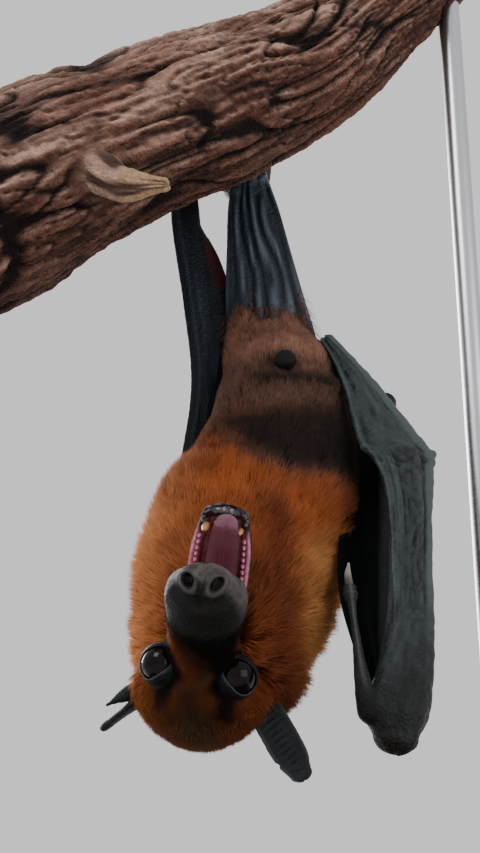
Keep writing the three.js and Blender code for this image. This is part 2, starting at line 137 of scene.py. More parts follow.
def hermite(p0, p1, p2, p3, f, dt0, dt1, dt2):
    """The cubic from p1 to p2 whose slopes come from the neighbours p0 and p3 and the knot steps."""
    slope1 = ((p1 - p0) / dt0 - (p2 - p0) / (dt0 + dt1) + (p2 - p1) / dt1) * dt1
    slope2 = ((p2 - p1) / dt1 - (p3 - p1) / (dt1 + dt2) + (p3 - p2) / dt2) * dt1
    rise = p2 - p1
    return p1 + f * (slope1 + f * (3 * rise - 2 * slope1 - slope2 + f * (slope1 + slope2 - 2 * rise)))


def curve(points, t):
    """A centripetal Catmull-Rom curve through the points, at t from 0 to 1."""
    row = np.array(points, float)
    row = np.concatenate([[2 * row[0] - row[1]], row, [2 * row[-1] - row[-2]]])
    steps = len(row) - 3
    place = np.asarray(t) * steps
    index = np.clip(np.floor(place).astype(int), 0, steps - 1)
    f = (place - index)[..., None]
    near = [row[index + i] for i in range(4)]
    gaps = [np.sqrt(np.linalg.norm(b - a, axis=-1, keepdims=True)) for a, b in itertools.pairwise(near)]
    return hermite(*near, f, *gaps)


def along(values, t):
    """A smooth value through a row of numbers, at t from 0 to 1."""
    row = np.array(values, float)
    row = np.concatenate([row[:1], row, row[-1:]])
    steps = len(row) - 3
    place = np.asarray(t) * steps
    index = np.clip(np.floor(place).astype(int), 0, steps - 1)
    return hermite(*(row[index + i] for i in range(4)), place - index, 1.0, 1.0, 1.0)


STEP = 1e-3  # the step in t that a slope is taken over
PAST_END = 1e-3  # how much t grows for each millimetre past a limb's end, which tells domes from sides


class Limb:
    """A centre line with a half width and a half depth, both functions of t from 0 to 1."""

    def __init__(self, path, width, depth=None, facing=(0, -1, 0), power=2.0, start=3.0, end=3.0):
        self.path = path
        self.width = width
        self.depth = width if depth is None else depth
        self.facing = np.array(facing, float)
        self.power = power
        self.start = start
        self.end = end

    def heading(self, t):
        """The way along the centre line at t."""
        return unit(curve(self.path, t + STEP) - curve(self.path, t - STEP))

    def frame(self, t):
        """Centre, way ahead, way across, way deep, half width and half depth at t."""
        ahead = self.heading(t)
        across = unit(np.cross(self.facing, ahead))
        deep = np.cross(ahead, across)
        return curve(self.path, t), ahead, across, deep, along(self.width, t), along(self.depth, t)

    def surface(self, rings, around, dome=6, t=None):
        """Each ring is a superellipse across the centre line, and quarter-ellipse domes close the ends.

        Points are spread evenly round the mean ring."""
        fine = np.linspace(0, TAU, 2001)
        size = (np.mean(self.width), np.mean(self.depth))
        outline = np.stack(superellipse(fine, self.power), -1) * size
        walked = np.concatenate([[0], np.cumsum(norm(np.diff(outline, axis=0)))])
        angle = np.interp(np.arange(around) / around * walked[-1], walked, fine)
        quarter = np.arange(1, dome) / dome * TAU / 4
        middle = np.linspace(0, 1, rings) if t is None else t
        t = np.concatenate([np.zeros(dome - 1), middle, np.ones(dome - 1)])
        shift = np.concatenate([-self.start * np.sin(quarter[::-1]), 0 * middle, self.end * np.sin(quarter)])
        scale = np.concatenate([np.cos(quarter[::-1]), 1 + 0 * middle, np.cos(quarter)])
        centre, ahead, across, deep, width, depth = self.frame(t)
        x, y = superellipse(angle, self.power)
        centre = centre + ahead * shift[:, None]
        grid = (
            centre[:, None]
            + across[:, None] * (x[None] * (width * scale)[:, None])[..., None]
            + deep[:, None] * (y[None] * (depth * scale)[:, None])[..., None]
        )
        first = curve(self.path, 0.0) - ahead[0] * self.start
        last = curve(self.path, 1.0) + ahead[-1] * self.end
        every = np.ones((len(t), 1))
        return Surface(grid, first, last, t + shift * PAST_END, x * every, y * every, deep)

    def holds(self, points, inset, samples=70):
        """True where a point lies inside the limb once its sides are inset by that much."""
        t = np.linspace(0, 1, samples)
        centre, ahead, across, deep, width, depth = self.frame(t)
        nearest = np.argmin(((points[:, None] - centre[None]) ** 2).sum(-1), axis=1)
        offset = points - centre[nearest]
        x = (offset * across[nearest]).sum(-1) / np.maximum(width[nearest] - inset, 0.3)
        y = (offset * deep[nearest]).sum(-1) / np.maximum(depth[nearest] - inset, 0.3)
        reach = (offset * ahead[nearest]).sum(-1)
        within = (reach > -self.start * 0.6) & (reach < self.end * 0.6)
        return (np.abs(x) ** self.power + np.abs(y) ** self.power < 1) & within


class Blade(Limb):
    """A limb given by its two edges: centre line and half width lie midway between them."""

    def __init__(self, inner, outer, depth, **rest):
        self.inner, self.outer = inner, outer = np.array(inner, float), np.array(outer, float)
        super().__init__((inner + outer) / 2, norm(inner - outer) / 2, depth, **rest)

    def frame(self, t):
        """As for a limb, with the way across taken from the outer edge to the inner one."""
        inner, outer = curve(self.inner, t), curve(self.outer, t)
        across = unit(inner - outer)
        deep = unit(np.cross(self.heading(t), across))
        width = norm(inner - outer) / 2
        return (inner + outer) / 2, np.cross(across, deep), across, deep, width, along(self.depth, t)


def superellipse(angle, power):
    """x = cos and y = sin of the angle, each raised to 2/power with its sign kept."""
    cos, sin = np.cos(angle), np.sin(angle)
    return np.sign(cos) * np.abs(cos) ** (2 / power), np.sign(sin) * np.abs(sin) ** (2 / power)


class Surface:
    """A closed grid of rings with a point at each end.

    t runs along the rings, and x and y are each point's place across and in depth, from -1 to 1."""

    def __init__(self, grid, first, last, t, x, y, deep):
        self.grid, self.first, self.last = grid, first, last
        self.t = np.broadcast_to(t[:, None], grid.shape[:2])
        self.x, self.y, self.deep = x, y, deep

    def normals(self):
        """The step round each ring crossed with the step to the next ring."""
        around = np.roll(self.grid, -1, axis=1) - np.roll(self.grid, 1, axis=1)
        return unit(np.cross(around, np.gradient(self.grid, axis=0)))

    def lift(self, height):
        """Moves every point along its normal by that height."""
        normals = self.normals()
        height = np.broadcast_to(height, self.grid.shape[:2])
        self.grid = self.grid + normals * height[..., None]
        self.first = self.first + unit(normals[0].mean(0)) * height[0].mean()
        self.last = self.last + unit(normals[-1].mean(0)) * height[-1].mean()
        return self

    def sink(self, depth):
        """Moves every point against the way that the depth faces."""
        self.grid = self.grid - self.deep[:, None] * np.asarray(depth)[..., None]
        return self

    def run(self):
        """How far each ring lies along the surface, in millimetres: the sum of the mean steps."""
        steps = norm(np.diff(self.grid, axis=0)).mean(1)
        run = np.concatenate([[0], np.cumsum(steps)])
        return np.broadcast_to(run[:, None], self.grid.shape[:2])

    def speck(self, size, seed):
        """Noise in space whose cells are that many millimetres wide."""
        return noise(self.grid / size, seed=seed)

    def strand(self, lengthwise, across, seed):
        """Noise with that many cells along the surface, and across it for each step of 1 in x."""
        return noise(np.stack([self.t * lengthwise, self.x * across], -1), seed=seed)

    def paint(self, tone, material=0):
        """Gives every point its colour, and the faces the number of their material."""
        self.tone = np.broadcast_to(tone, self.grid.shape)
        self.material = material
        return self

    def points(self):
        """The first end, every ring's points in turn and the last end."""
        return np.concatenate([[self.first], self.grid.reshape(-1, 3), [self.last]])

    def spread(self, field):
        """A field on the grid as one row for points(), with each end taking its ring's mean."""
        flat = field.reshape(-1, *field.shape[2:])
        return np.concatenate([[field[0].mean(0)], flat, [field[-1].mean(0)]])

    def faces(self):
        """Quads between the rings, and a fan of triangles at each end."""
        rings, around = self.grid.shape[:2]
        side = np.arange(around)
        beside = (side + 1) % around
        ring = 1 + np.arange(rings - 1)[:, None] * around
        quads = np.stack([ring + side, ring + beside, ring + around + beside, ring + around + side], -1)
        last_ring = 1 + (rings - 1) * around
        end = rings * around + 1
        start_fan = np.stack([0 * side, 1 + beside, 1 + side], -1)
        end_fan = np.stack([0 * side + end, last_ring + side, last_ring + beside], -1)
        return quads.reshape(-1, 4), np.concatenate([start_fan, end_fan])

    def face_materials(self):
        """One material number for each face, in the order of faces()."""
        field = np.broadcast_to(self.material, self.grid.shape[:2])
        return np.concatenate([field[:-1].ravel(), field[0], field[-1]]).astype(np.int32)


# ---- Meshes ----


def add_mesh(name, points, quads=None, triangles=None, materials=(), numbers=None, tone=None, soft=True):
    """A mesh object at the origin from whole arrays: points in millimetres, then quads and triangles."""
    mesh = bpy.data.meshes.new(name)
    quads = np.zeros((0, 4), int) if quads is None else quads
    triangles = np.zeros((0, 3), int) if triangles is None else triangles
    corners = np.concatenate([quads.ravel(), triangles.ravel()]).astype(np.int32)
    starts = np.concatenate([np.arange(len(quads)) * 4, len(quads) * 4 + np.arange(len(triangles)) * 3])
    mesh.vertices.add(len(points))
    mesh.vertices.foreach_set("co", (np.asarray(points) * MM).astype(np.float32).ravel())
    mesh.loops.add(len(corners))
    mesh.loops.foreach_set("vertex_index", corners)
    mesh.polygons.add(len(starts))
    mesh.polygons.foreach_set("loop_start", starts.astype(np.int32))
    for material in materials:
        mesh.materials.append(material)
    if numbers is not None:
        mesh.polygons.foreach_set("material_index", np.asarray(numbers, np.int32))
    mesh.polygons.foreach_set("use_smooth", np.full(len(starts), soft))
    mesh.update(calc_edges=True)
    if tone is not None:
        write_tone(mesh, tone)
    thing = bpy.data.objects.new(name, mesh)
    bpy.context.scene.collection.objects.link(thing)
    return thing


def write_tone(mesh, tone):
    """Stores one linear colour for each point, in the attribute that the materials read."""
    colours = np.concatenate([tone, np.ones((len(tone), 1))], axis=1).astype(np.float32)
    layer = mesh.attributes.new("tone", "FLOAT_COLOR", "POINT")
    layer.data.foreach_set("color", colours.ravel())


def join_surfaces(name, surfaces, materials):
    """One mesh from several closed surfaces that don't need a union."""
    points, quads, triangles, numbers, tones, offset = [], [], [], [[], []], [], 0
    for surface in surfaces:
        four, three = surface.faces()
        quads.append(four + offset)
        triangles.append(three + offset)
        kinds = surface.face_materials()
        numbers[0].append(kinds[: len(four)])
        numbers[1].append(kinds[len(four) :])
        points.append(surface.points())
        tones.append(surface.spread(surface.tone))
        offset += len(points[-1])
    return add_mesh(
        name,
        np.concatenate(points),
        np.concatenate(quads),
        np.concatenate(triangles),
        materials,
        np.concatenate(numbers[0] + numbers[1]),
        np.concatenate(tones),
    )


def unite(name, surfaces, materials, extra=()):
    """The union of closed surfaces as one mesh, with materials and colours carried through."""
    parts = [join_surfaces(f"{name}_part", [surface], materials) for surface in surfaces]
    parts += list(extra)
    body = parts[0]
    for part in parts[1:]:
        modifier = body.modifiers.new("union", "BOOLEAN")
        modifier.operation = "UNION"
        modifier.solver = "MANIFOLD"
        modifier.object = part
    depsgraph = bpy.context.evaluated_depsgraph_get()
    mesh = bpy.data.meshes.new_from_object(body.evaluated_get(depsgraph), depsgraph=depsgraph)
    if len(mesh.polygons) == 0:
        raise RuntimeError(f"the union of {name} came out empty")
    for part in parts:
        bpy.data.objects.remove(part)
    mesh.name = name
    mesh.polygons.foreach_set("use_smooth", np.ones(len(mesh.polygons), bool))
    soften_joins(mesh)
    thing = bpy.data.objects.new(name, mesh)
    bpy.context.scene.collection.objects.link(thing)
    return thing


def read(collection, name, width, kind=np.float32):
    """A whole attribute of a mesh as an array with that many columns."""
    values = np.zeros(len(collection) * width, kind)
    collection.foreach_get(name, values)
    return values.reshape(-1, width)


def neighbour_mean(values, edges, counted):
    """The mean of each point's counted neighbours along its edges, and how many there were."""
    total = np.zeros(values.shape)
    count = np.zeros(len(values))
    for near, far in (edges, edges[::-1]):
        np.add.at(total, near, values[far] * counted[far, None])
        np.add.at(count, near, counted[far])
    return total / np.maximum(count, 1e-9)[:, None], count


def soften_joins(mesh, reach=5, rounds=14):
    """Rounds the creases where parts meet.

    A union leaves its new points white, so they are known by that. They take their neighbours'
    colour, and the points within a few edges of them move part of the way to their neighbours' mean."""
    edges = read(mesh.edges, "vertices", 2, np.int32).T
    layer = mesh.attributes["tone"].data
    tone = read(layer, "color", 4).astype(float)
    new = (tone[:, :3] > 0.999).all(axis=1)
    known = (~new).astype(float)
    for _ in range(4):
        mean, count = neighbour_mean(tone, edges, known)
        take = (known == 0) & (count > 0)
        tone[take] = mean[take]
        known[take] = 1
    near = new.astype(float)
    for _ in range(reach):
        spread = near.copy()
        np.maximum.at(spread, edges[0], near[edges[1]] * 0.8)
        np.maximum.at(spread, edges[1], near[edges[0]] * 0.8)
        near = spread
    place = read(mesh.vertices, "co", 3).astype(float)
    everyone = np.ones(len(place))
    for _ in range(rounds):
        for values in (place, tone):
            mean, count = neighbour_mean(values, edges, everyone)
            values += 0.5 * near[:, None] * (mean - values)
    mesh.vertices.foreach_set("co", place.astype(np.float32).ravel())
    layer.foreach_set("color", tone.astype(np.float32).ravel())
    mesh.update()


def finish(thing, slot, *nodes):
    """Rides the piece on the body and hides the CAD nodes that it stands for; the name of its finish, slot,
    is not used.
    """
    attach(thing, BODY)
    if nodes:
        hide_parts(*nodes)
    return thing


# ---- The bat's measures, in millimetres ----


def node_box(*nodes):
    """Lowest and highest corner of CAD nodes, in millimetres."""
    corners = np.array([[list(corner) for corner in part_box(node)] for node in nodes]) / MM
    return corners[:, 0].min(0), corners[:, 1].max(0)


def node_centre(node):
    """The middle of a CAD node's box."""
    return np.mean(node_box(node), axis=0)


EYES = {"left": node_centre("eye_left"), "right": node_centre("eye_right")}
EYE_RADIUS = 1.08 * (node_box("eye_left")[1] - node_box("eye_left")[0])[2] / 2
EYE_BACK, EYE_UP = 2.4, 0.2
LEFT = unit(EYES["left"] - EYES["right"])
CROWN = unit(np.cross(LEFT, unit(np.array([0.02, -0.9, 0.44]))))
AHEAD = np.cross(CROWN, LEFT)
HEAD_ORIGIN = (EYES["left"] + EYES["right"]) / 2 + AHEAD * EYE_BACK - CROWN * EYE_UP
SIDES = {"left": 1, "right": -1}


def head_point(ahead, up, left=0.0):
    """A point of the head from its distances along the muzzle, the crown and the left."""
    ahead, up, left = (np.asarray(value, float)[..., None] for value in (ahead, up, left))
    return HEAD_ORIGIN + ahead * AHEAD + up * CROWN + left * LEFT


def head_place(points):
    """The distances ahead, left and up of points, from the head's origin."""
    offset = points - HEAD_ORIGIN
    return offset @ AHEAD, offset @ LEFT, offset @ CROWN


HEAD_STATIONS = np.array(
    [
        [-24, -3.5, 16, 14.5], [-17, -2, 19.4, 15.8], [-11, -2.4, 19.8, 15.2], [-6, -3.4, 17, 13.6],
        [-1, -4.6, 12.6, 11.4], [4, -6.2, 10.2, 10.2], [9, -7.8, 10.4, 9.8], [15, -9, 11.3, 9.2],
        [20.5, -9.4, 10.4, 8.2], [24.8, -9.2, 7.6, 5.8],
    ]
)
HEAD = Limb(
    head_point(HEAD_STATIONS[:, 0], HEAD_STATIONS[:, 1]),
    HEAD_STATIONS[:, 2],
    HEAD_STATIONS[:, 3],
    facing=CROWN,
    start=8,
    end=1.6,
)

JAW_HINGE, JAW_CHIN = np.array([-9.0, -15.0]), np.array([20.5, -39.5])
JAW_LENGTH = np.linalg.norm(JAW_CHIN - JAW_HINGE)
JAW_RUN = (JAW_CHIN - JAW_HINGE) / JAW_LENGTH


def jaw_point(length, height, left=0.0):
    """A point of the jaw from its length past the hinge and its height towards the palate."""
    rise = np.array([[-JAW_RUN[1]], [JAW_RUN[0]]])
    ahead, up = JAW_HINGE[:, None] + JAW_RUN[:, None] * length + rise * height
    return head_point(ahead, up, np.asarray(left, float) + 0 * ahead)


JAW_INNER = (jaw_point(np.zeros(1), np.ones(1)) - jaw_point(np.zeros(1), np.zeros(1)))[0]
JAW_PARTS = np.array([0, 0.35, 0.7, 0.95])
JAW = Limb(
    jaw_point(JAW_PARTS * JAW_LENGTH, 0 * JAW_PARTS),
    [8.0, 8.7, 8.6, 6.5],
    [7, 6, 5, 3.6],
    facing=JAW_INNER,
    power=2.2,
    start=3,
    end=2.6,
)
TONGUE_PARTS = np.array([0.3, 0.58, 0.83, 0.9])
TONGUE = Limb(
    jaw_point(TONGUE_PARTS * JAW_LENGTH, np.array([3.6, 3.8, 3.9, 3.6]), 0.9),
    [4.6, 4.7, 4.2, 3.3],
    [2.4, 2.1, 1.6, 1.2],
    facing=JAW_INNER,
    end=2.6,
)

TORSO = Limb(
    [
        [-4, -23, 100], [-4.8, -19, 111], [-3, -13, 126], [0.8, -6.2, 141], [4, -3, 151], [8.5, 0, 163],
        [12, 1, 179], [13, 3, 197], [12, 5, 210], [11, 6, 219],
    ],
    [24, 29.4, 32.6, 34.4, 34, 31, 26.4, 22, 18.6, 15],
    [18, 21, 24, 25.4, 26, 25.5, 23, 20.5, 17.5, 12],
    start=13,
    end=6,
)
LEG = {
    "left": {"hip": [21, 2, 204], "knee": [14.5, 7, 231], "ankle": [6.6, 10, 279]},
    "right": {"hip": [4, 2, 204], "knee": [0.2, 7, 232], "ankle": [-1.6, 9.5, 279]},
}
WING = {
    "left": {
        "shoulder": [26, 3, 148],
        "elbow": [50, 16, 201.5],
        "wrist": [41, -43, 88.5],
        "thumb": [
            [34.9, -46, 89.5], [32.8, -48, 97], [31.3, -50.5, 107], [30.2, -52, 116], [29.7, -52, 121.5],
        ],
        "claw": [[29.6, -52.2, 122], [29.2, -53.2, 125], [29.3, -55.2, 127.4]],
    },
    "right": {
        "shoulder": [-18, 5, 148],
        "elbow": [-8.5, 34, 225],
        "wrist": [-18, 14, 102],
        "thumb": [[-24, 10, 101], [-26.6, 9, 106], [-28, 10, 113], [-28.5, 11.6, 120], [-28.5, 13, 127]],
        "claw": [[-28.5, 13.2, 127.5], [-28.8, 12.6, 131], [-28.8, 10.4, 133.6]],
    },
}
HAND = {
    "left": Blade(
        [
            [35.4, -45, 83.8], [31.9, -45.5, 91.2], [36, -43.4, 98.5], [40.4, -37.5, 115.8],
            [42.6, -32.4, 134.3], [43.6, -27.7, 151.8], [42.3, -23, 164], [40.2, -20, 169.6],
            [37.5, -17.5, 173.8], [35.8, -13, 182.7], [34, -7, 197], [30.9, -1, 209.7], [27.5, 3, 218.4],
        ],
        [
            [47.6, -42, 82.4], [51.3, -41.1, 89.2], [52.6, -39.8, 97], [54, -34.5, 114.6],
            [55.4, -29.6, 133.1], [57, -24.7, 150.6], [58.6, -21, 163], [59.4, -18.4, 170],
            [57, -15.5, 174.8], [52.1, -11, 183.6], [44.3, -5, 197.8], [37, 0, 209.8],
            [30.6, 3.5, 219.4],
        ],
        [5.4, 6.6, 5.2, 4, 3.5, 3.4, 3.4, 3.4, 3.3, 3.1, 2.8, 2.4, 2],
        power=2.3,
        start=5,
        end=1.6,
    ),
    "right": Limb(
        [
            [-20, 12.5, 98], [-21, 15, 105], [-22.5, 21, 123], [-21, 23, 150], [-15.5, 18, 178],
            [-11.5, 12.5, 207], [-14.8, 12, 238], [-19.4, 15, 270], [-20.5, 17, 287],
        ],
        [6.6, 7.4, 6.2, 5.8, 5.6, 5.6, 5.6, 5.6, 5],
        [5, 5, 3.6, 3.2, 3, 2.6, 2.4, 2.2, 2],
        facing=(-0.2, 1, 0.2),
        power=2.3,
        start=5,
        end=2.4,
    ),
}
EAR = {
    "left": Limb(
        [[4.6, -27, 96.5], [9.3, -28, 88], [14.3, -29.5, 79], [16.8, -30.2, 74.6]],
        [4.4, 5, 4.8, 3.2],
        [3, 1.7, 1.2, 0.9],
        facing=(0.25, -1, -0.15),
        end=2,
    ),
    "right": Limb(
        [[-27, -24, 97], [-30.5, -25, 93.7], [-34.6, -25.5, 90.4], [-37.6, -26, 88]],
        [4, 4.4, 4, 2.6],
        [2.6, 1.6, 1.2, 1.3],
        facing=(-0.6, 0, 0.8),
        end=2,
    ),
}
EAR_LOBE = Limb(
    [[-28, -25, 98], [-32.2, -26.5, 96.6], [-37.2, -28, 93.6]],
    [3.4, 2.8, 0.8],
    [3.4, 2.2, 0.5],
    facing=(-0.5, 0, 0.85),
    end=0.6,
)


def sheet(path, width, facing, thick=0.45):
    """A thin membrane as a flat limb."""
    return Limb(path, width, [thick] * len(width), facing=facing, power=3, start=1.2, end=1.2)


ARM_MEMBRANE = {
    "left": sheet(
        [
            [38.6, -37, 95], [37.2, -27, 111], [36.4, -19, 126], [38.2, -11, 142], [40.6, -2, 160],
            [42.5, 3, 176], [40, 9, 196], [33, 10.5, 212], [25, 11, 222],
        ],
        [5, 8, 9.8, 10.4, 9, 7.8, 8.5, 7, 4],
        (0.6, -0.8, 0.1),
    ),
    "right": sheet(
        [
            [-15, 21, 124], [-12.5, 24, 145], [-9, 24.5, 168], [-7, 24.5, 190], [-5, 23, 210],
            [-2, 18, 222],
        ],
        [3, 5, 6, 8, 10, 6],
        (1, 0.35, 0),
    ),
}
SIDE_MEMBRANE = sheet(
    [[-17, 14.5, 268], [-12.5, 13, 254], [-9, 11.5, 240], [-7.5, 10.5, 226], [-9, 11, 210]],
    [3.6, 5.4, 5.8, 5, 4],
    (0.1, -1, 0.1),
)
LEG_MEMBRANE = Limb(
    [[3.2, 11, 288], [4.6, 9.4, 272], [6.4, 8.6, 255], [8.4, 8, 237], [11, 6.5, 216]],
    [6.6, 9.3, 11.4, 13.6, 15.8],
    [2.8, 3.8, 4.4, 4.8, 5],
    power=3,
    start=1,
    end=1.5,
)
GRIP = {"left": np.array([7.5, -7.2, 313.5]), "right": np.array([-2.5, -10.6, 306.5])}
GRIP_RADIUS = 29.0
TOES = 5
BRANCH = Limb(
    [
        [-97, -41, 236], [-76.4, -35, 251.5], [-46, -26, 275], [-14, -14, 297.5], [2, -9, 310],
        [21.6, -4, 324], [40.7, 1, 343], [60.6, 5, 366.5], [79, 8, 394],
    ],
    [34.8, 33.2, 30.2, 28.8, 28, 25.8, 23.8, 22, 21],
    start=0.6,
    end=0.6,
)
STUB = Limb([[-44, -50, 252], [-35.5, -57, 243.5], [-22, -62.5, 240]], [8, 6.2, 2.6], start=3, end=1.5)


def bone(joints, first, last, widths, bow=(0, 0, 0), **ends):
    """A limb from one joint to the next, through their middle moved by the bow."""
    first, last = np.array(joints[first]), np.array(joints[last])
    return Limb([first, (first + last) / 2 + np.array(bow), last], widths, **ends)


def thigh(side):
    """Hip to knee, inside the coat's tips."""
    return bone(LEG[side], "hip", "knee", [10.5, 8.6, 5.6], start=4, end=4)


def shin(side):
    """Knee to ankle, bowed back by 2.5 mm."""
    return bone(LEG[side], "knee", "ankle", [3.2, 2.3, 2.5], (0, 2.5, 0))


def upper_arm(side):
    """Shoulder to elbow, inside the coat's tips."""
    return bone(WING[side], "shoulder", "elbow", [9, 6.4, 3.6])


def forearm(side):
    """Elbow to wrist."""
    return bone(WING[side], "elbow", "wrist", [3.6, 3.6, 4.2])


def grip_point(side, degrees, lift, sideways=0.0):
    """A place round the branch, where the foot of that side grips it."""
    angle = np.radians(degrees)
    radius = GRIP_RADIUS + lift
    return GRIP[side] + [sideways, radius * np.cos(angle), radius * np.sin(angle) + sideways * 0.75]


def grip_path(side, *places):
    """A path through places round the branch, each given by its angle, lift and way sideways."""
    return [grip_point(side, *place) for place in places]


def nearest(points, centres):
    """How far each point is from the nearer of two centres."""
    return np.minimum(*(norm(points - centre) for centre in centres))


# ---- Markings and the lie of the coat ----

MANE = linear("#7c3f1c")
MANE_LIGHT = linear("#965d35")
MANE_DEEP_AND_SHADE = linear("#461b0d")
BUFF = linear("#aa7844")
BAND_AND_SHADE = linear("#1b1513")
BELLY = linear("#563b31")
GROIN = linear("#7c5848")
BACK = linear("#2c1c12")
FACE = linear("#763816")
FACE_LIGHT = linear("#935020")
FOREHEAD = linear("#4d3b29")
MUZZLE = linear("#080706")
LIT_PAD_GREY = linear("#4b4644")
SKIN_GREY = linear("#1f2324")
SKIN_DARK = linear("#050707")
MEMBRANE = linear("#272d2d")
MEMBRANE_BLUE = linear("#1b242c")
MEMBRANE_SHADE = linear("#030606")
LIP = linear("#1d191c")
LIP_PINK = linear("#c97d92")
GUM = linear("#8f3844")
MOUTH_RED = linear("#6d1519")
TONGUE_PINK = linear("#4a1322")
# painted red of backlight shining through a membrane
RED_GLOW = linear("#3c0c12")


def body_colour(points):
    """The coat's colour on neck, trunk and limbs.

    The mane is orange on the right side of the body, there partly painted light, with a painted
    russet shade under the jaw and buff at the left flank. Where the belly's face is 165 to 188 high
    it turns to a dark band, then to a brown belly, a black painted shade in the crease and a paler
    groin; painted shade also darkens the left flank beside the wing and the coat round and under the
    groin bump. The back is dark behind the mantle."""
    x, y, z = points[..., 0], points[..., 1], points[..., 2]
    patch = layered(points / 14, 2, seed=3)
    streak = noise(points / [3.0, 3.0, 9.0], seed=5)
    height = z - 0.34 * y
    axis = np.interp(z, [100, 126, 143, 163, 197, 219], [-21, -13, -6, 0, 3, 6])
    front = smooth(8, -6, y - axis)
    across = x + 3 * patch
    # the orange of the right side is partly the coat's own colour, partly painted light of the lit side
    colour = blend(MANE_LIGHT, MANE, smooth(-26, -8, across))
    # painted russet shade under the jaw
    colour = blend(colour, MANE_DEEP_AND_SHADE, bell(across, 7.5, 5) * smooth(168, 150, height) * front * 0.75)
    colour = blend(colour, BUFF, smooth(9, 17, across) * smooth(150, 136, height) * front * 0.8)
    colour = blend(colour, MANE_DEEP_AND_SHADE, smooth(0.25, 0.9, -patch) * 0.4)
    colour = colour * (1 + 0.28 * streak[..., None])
    rim = height - np.interp(x, [-26, -14, -5, 8, 17, 27, 37], [192, 185, 176, 168, 162, 161, 163])
    ragged = rim + 3 * patch + 1.5 * noise(points / 3.2, seed=6)
    belly = blend(BELLY, GROIN, smooth(200, 210, height + 3 * patch))
    belly = blend(belly, MANE * 0.8, 0.5 * smooth(6, -14, x) * smooth(204, 190, height))
    soft = 3 + 8 * smooth(6, -16, x)
    colour = blend(colour, belly * (1 + 0.3 * streak[..., None]), smooth(-soft, 3, ragged) * front)
    band = smooth(-2, 5, ragged) * smooth(192, 183, height + 5 * patch) * smooth(-14, 4, x + 5 * patch)
    # the band is the belly's own dark marking; flank, crease and ball are painted shade beside the wing, in
    # the belly's crease and round and under the groin bump
    flank = smooth(24, 33, x) * smooth(150, 162, height)
    crease = bell(height, 198.6, 2.6) * smooth(1, 8, x)
    ball = np.linalg.norm((points - node_centre("groin_bump") + [1.5, 0, 2]) / [1.4, 1, 1], axis=-1)
    dark = 0.92 * band + 0.9 * flank + crease + 0.9 * smooth(8, 4, ball + 1.5 * patch)
    colour = blend(colour, BAND_AND_SHADE, np.clip(dark, 0, 1) * front)
    return blend(colour, BACK * (1 + 0.25 * streak[..., None]), smooth(160, 176, z + 5 * patch) * (1 - front))


def head_colour(points):
    """The coat's colour on the head.

    Orange cheek on the right, russet on the left, the difference partly painted light and shade, and a
    dark crown. Black covers the muzzle, the bridge that leans to the left eye, a ring round each eye
    and a spot behind it. Painted shade darkens the cheek beside the bridge."""
    ahead, left, up = head_place(points)
    patch = noise(points / 5, seed=8)
    # orange right cheek, russet left: partly their own colours, partly painted light and shade of the two
    # sides
    colour = blend(FACE_LIGHT, FACE, smooth(-17, -3, left + 3 * patch))
    brow = bell(left, 1, 7.5 + 5 * smooth(-5, -15, ahead)) * smooth(0, 4, up)
    colour = blend(colour, FOREHEAD, np.clip(brow * (0.85 + 0.4 * patch), 0, 1))
    low = np.interp(ahead, [2, 7, 9, 11, 12.5, 17], [5, 3.5, 0, -4.5, -7.5, -14]) - 1.2 * patch
    high = np.interp(ahead, [2, 7, 12.4, 16], [6, 8.5, 10.5, 15])
    # painted shade on the cheek beside the muzzle's bridge
    muzzle_side_shade = smooth(low - 10, low - 4, left) * smooth(high + 4, high + 0.5, left) * smooth(1, 6, ahead)
    colour = blend(colour, linear("#20150e"), 0.9 * muzzle_side_shade)
    colour = blend(colour, FACE * 0.8, bell(left, -1, 2.2) * bell(ahead, 3.5, 3.5) * 0.6)
    bridge = smooth(low - 1.2, low + 1.2, left) * smooth(high + 1.2, high - 1.2, left)
    colour = blend(colour, MUZZLE, bridge * smooth(0, 5, ahead))
    for sign, centre in ((1, EYES["left"]), (-1, EYES["right"])):
        reach = norm(points - centre - 1.3 * AHEAD + 1.2 * sign * LEFT)
        colour = blend(colour, MUZZLE, smooth(EYE_RADIUS + 2.6, EYE_RADIUS + 1.2, reach + 0.7 * patch))
        spot = centre - 1.5 * AHEAD + 6.4 * CROWN - 1.5 * sign * LEFT
        colour = blend(colour, MUZZLE, 0.9 * smooth(3.9, 1.8, norm(points - spot) + patch))
    return blend(colour, body_colour(points), smooth(-17, -27, ahead))


def head_coat(points):
    """How far the coat stands off the skin of the head: nothing at the nose, most on cheeks and nape."""
    ahead, left, up = head_place(points)
    depth = np.interp(ahead, [-17, -11, -6, -1, 4, 14, 23], [4, 3.8, 2.8, 1.2, 0.6, 0.25, 0.05])
    cheek = smooth(8, 14, np.abs(left)) * smooth(4, -5, up) * smooth(3, -5, ahead)
    return depth + 1.0 * cheek


def torso_coat(points):
    """How far the coat stands off neck and trunk, by height.

    The ruff is deepest, the rump shallowest, and the coat parts at the belly's fold."""
    z = points[..., 2]
    depth = np.interp(z, [100, 112, 126, 140, 156, 176, 200, 219], [5.5, 7, 9, 8.5, 7, 5, 4.2, 3.4])
    return depth - 1.0 * bell(z, 198.5, 2.5) * smooth(2, 10, points[..., 0])


def thigh_coat(points):
    """How far the coat stands off a thigh."""
    return 3.2 + 0 * points[..., 0]


def arm_coat(points):
    """How far the coat stands off an upper arm. It ends before the bare elbow."""
    reach = nearest(points, [np.array(wing["elbow"]) for wing in WING.values()])
    return 0.2 + 2.8 * smooth(5, 18, reach)


# ---- Skin ----

HIDE, BARE, WEB, LINING, SHADE = range(5)  # the skin's material numbers


def eye_axis(side):
    """The way an eye looks out of the head."""
    return unit(0.74 * AHEAD + 0.47 * SIDES[side] * LEFT + 0.46 * CROWN)


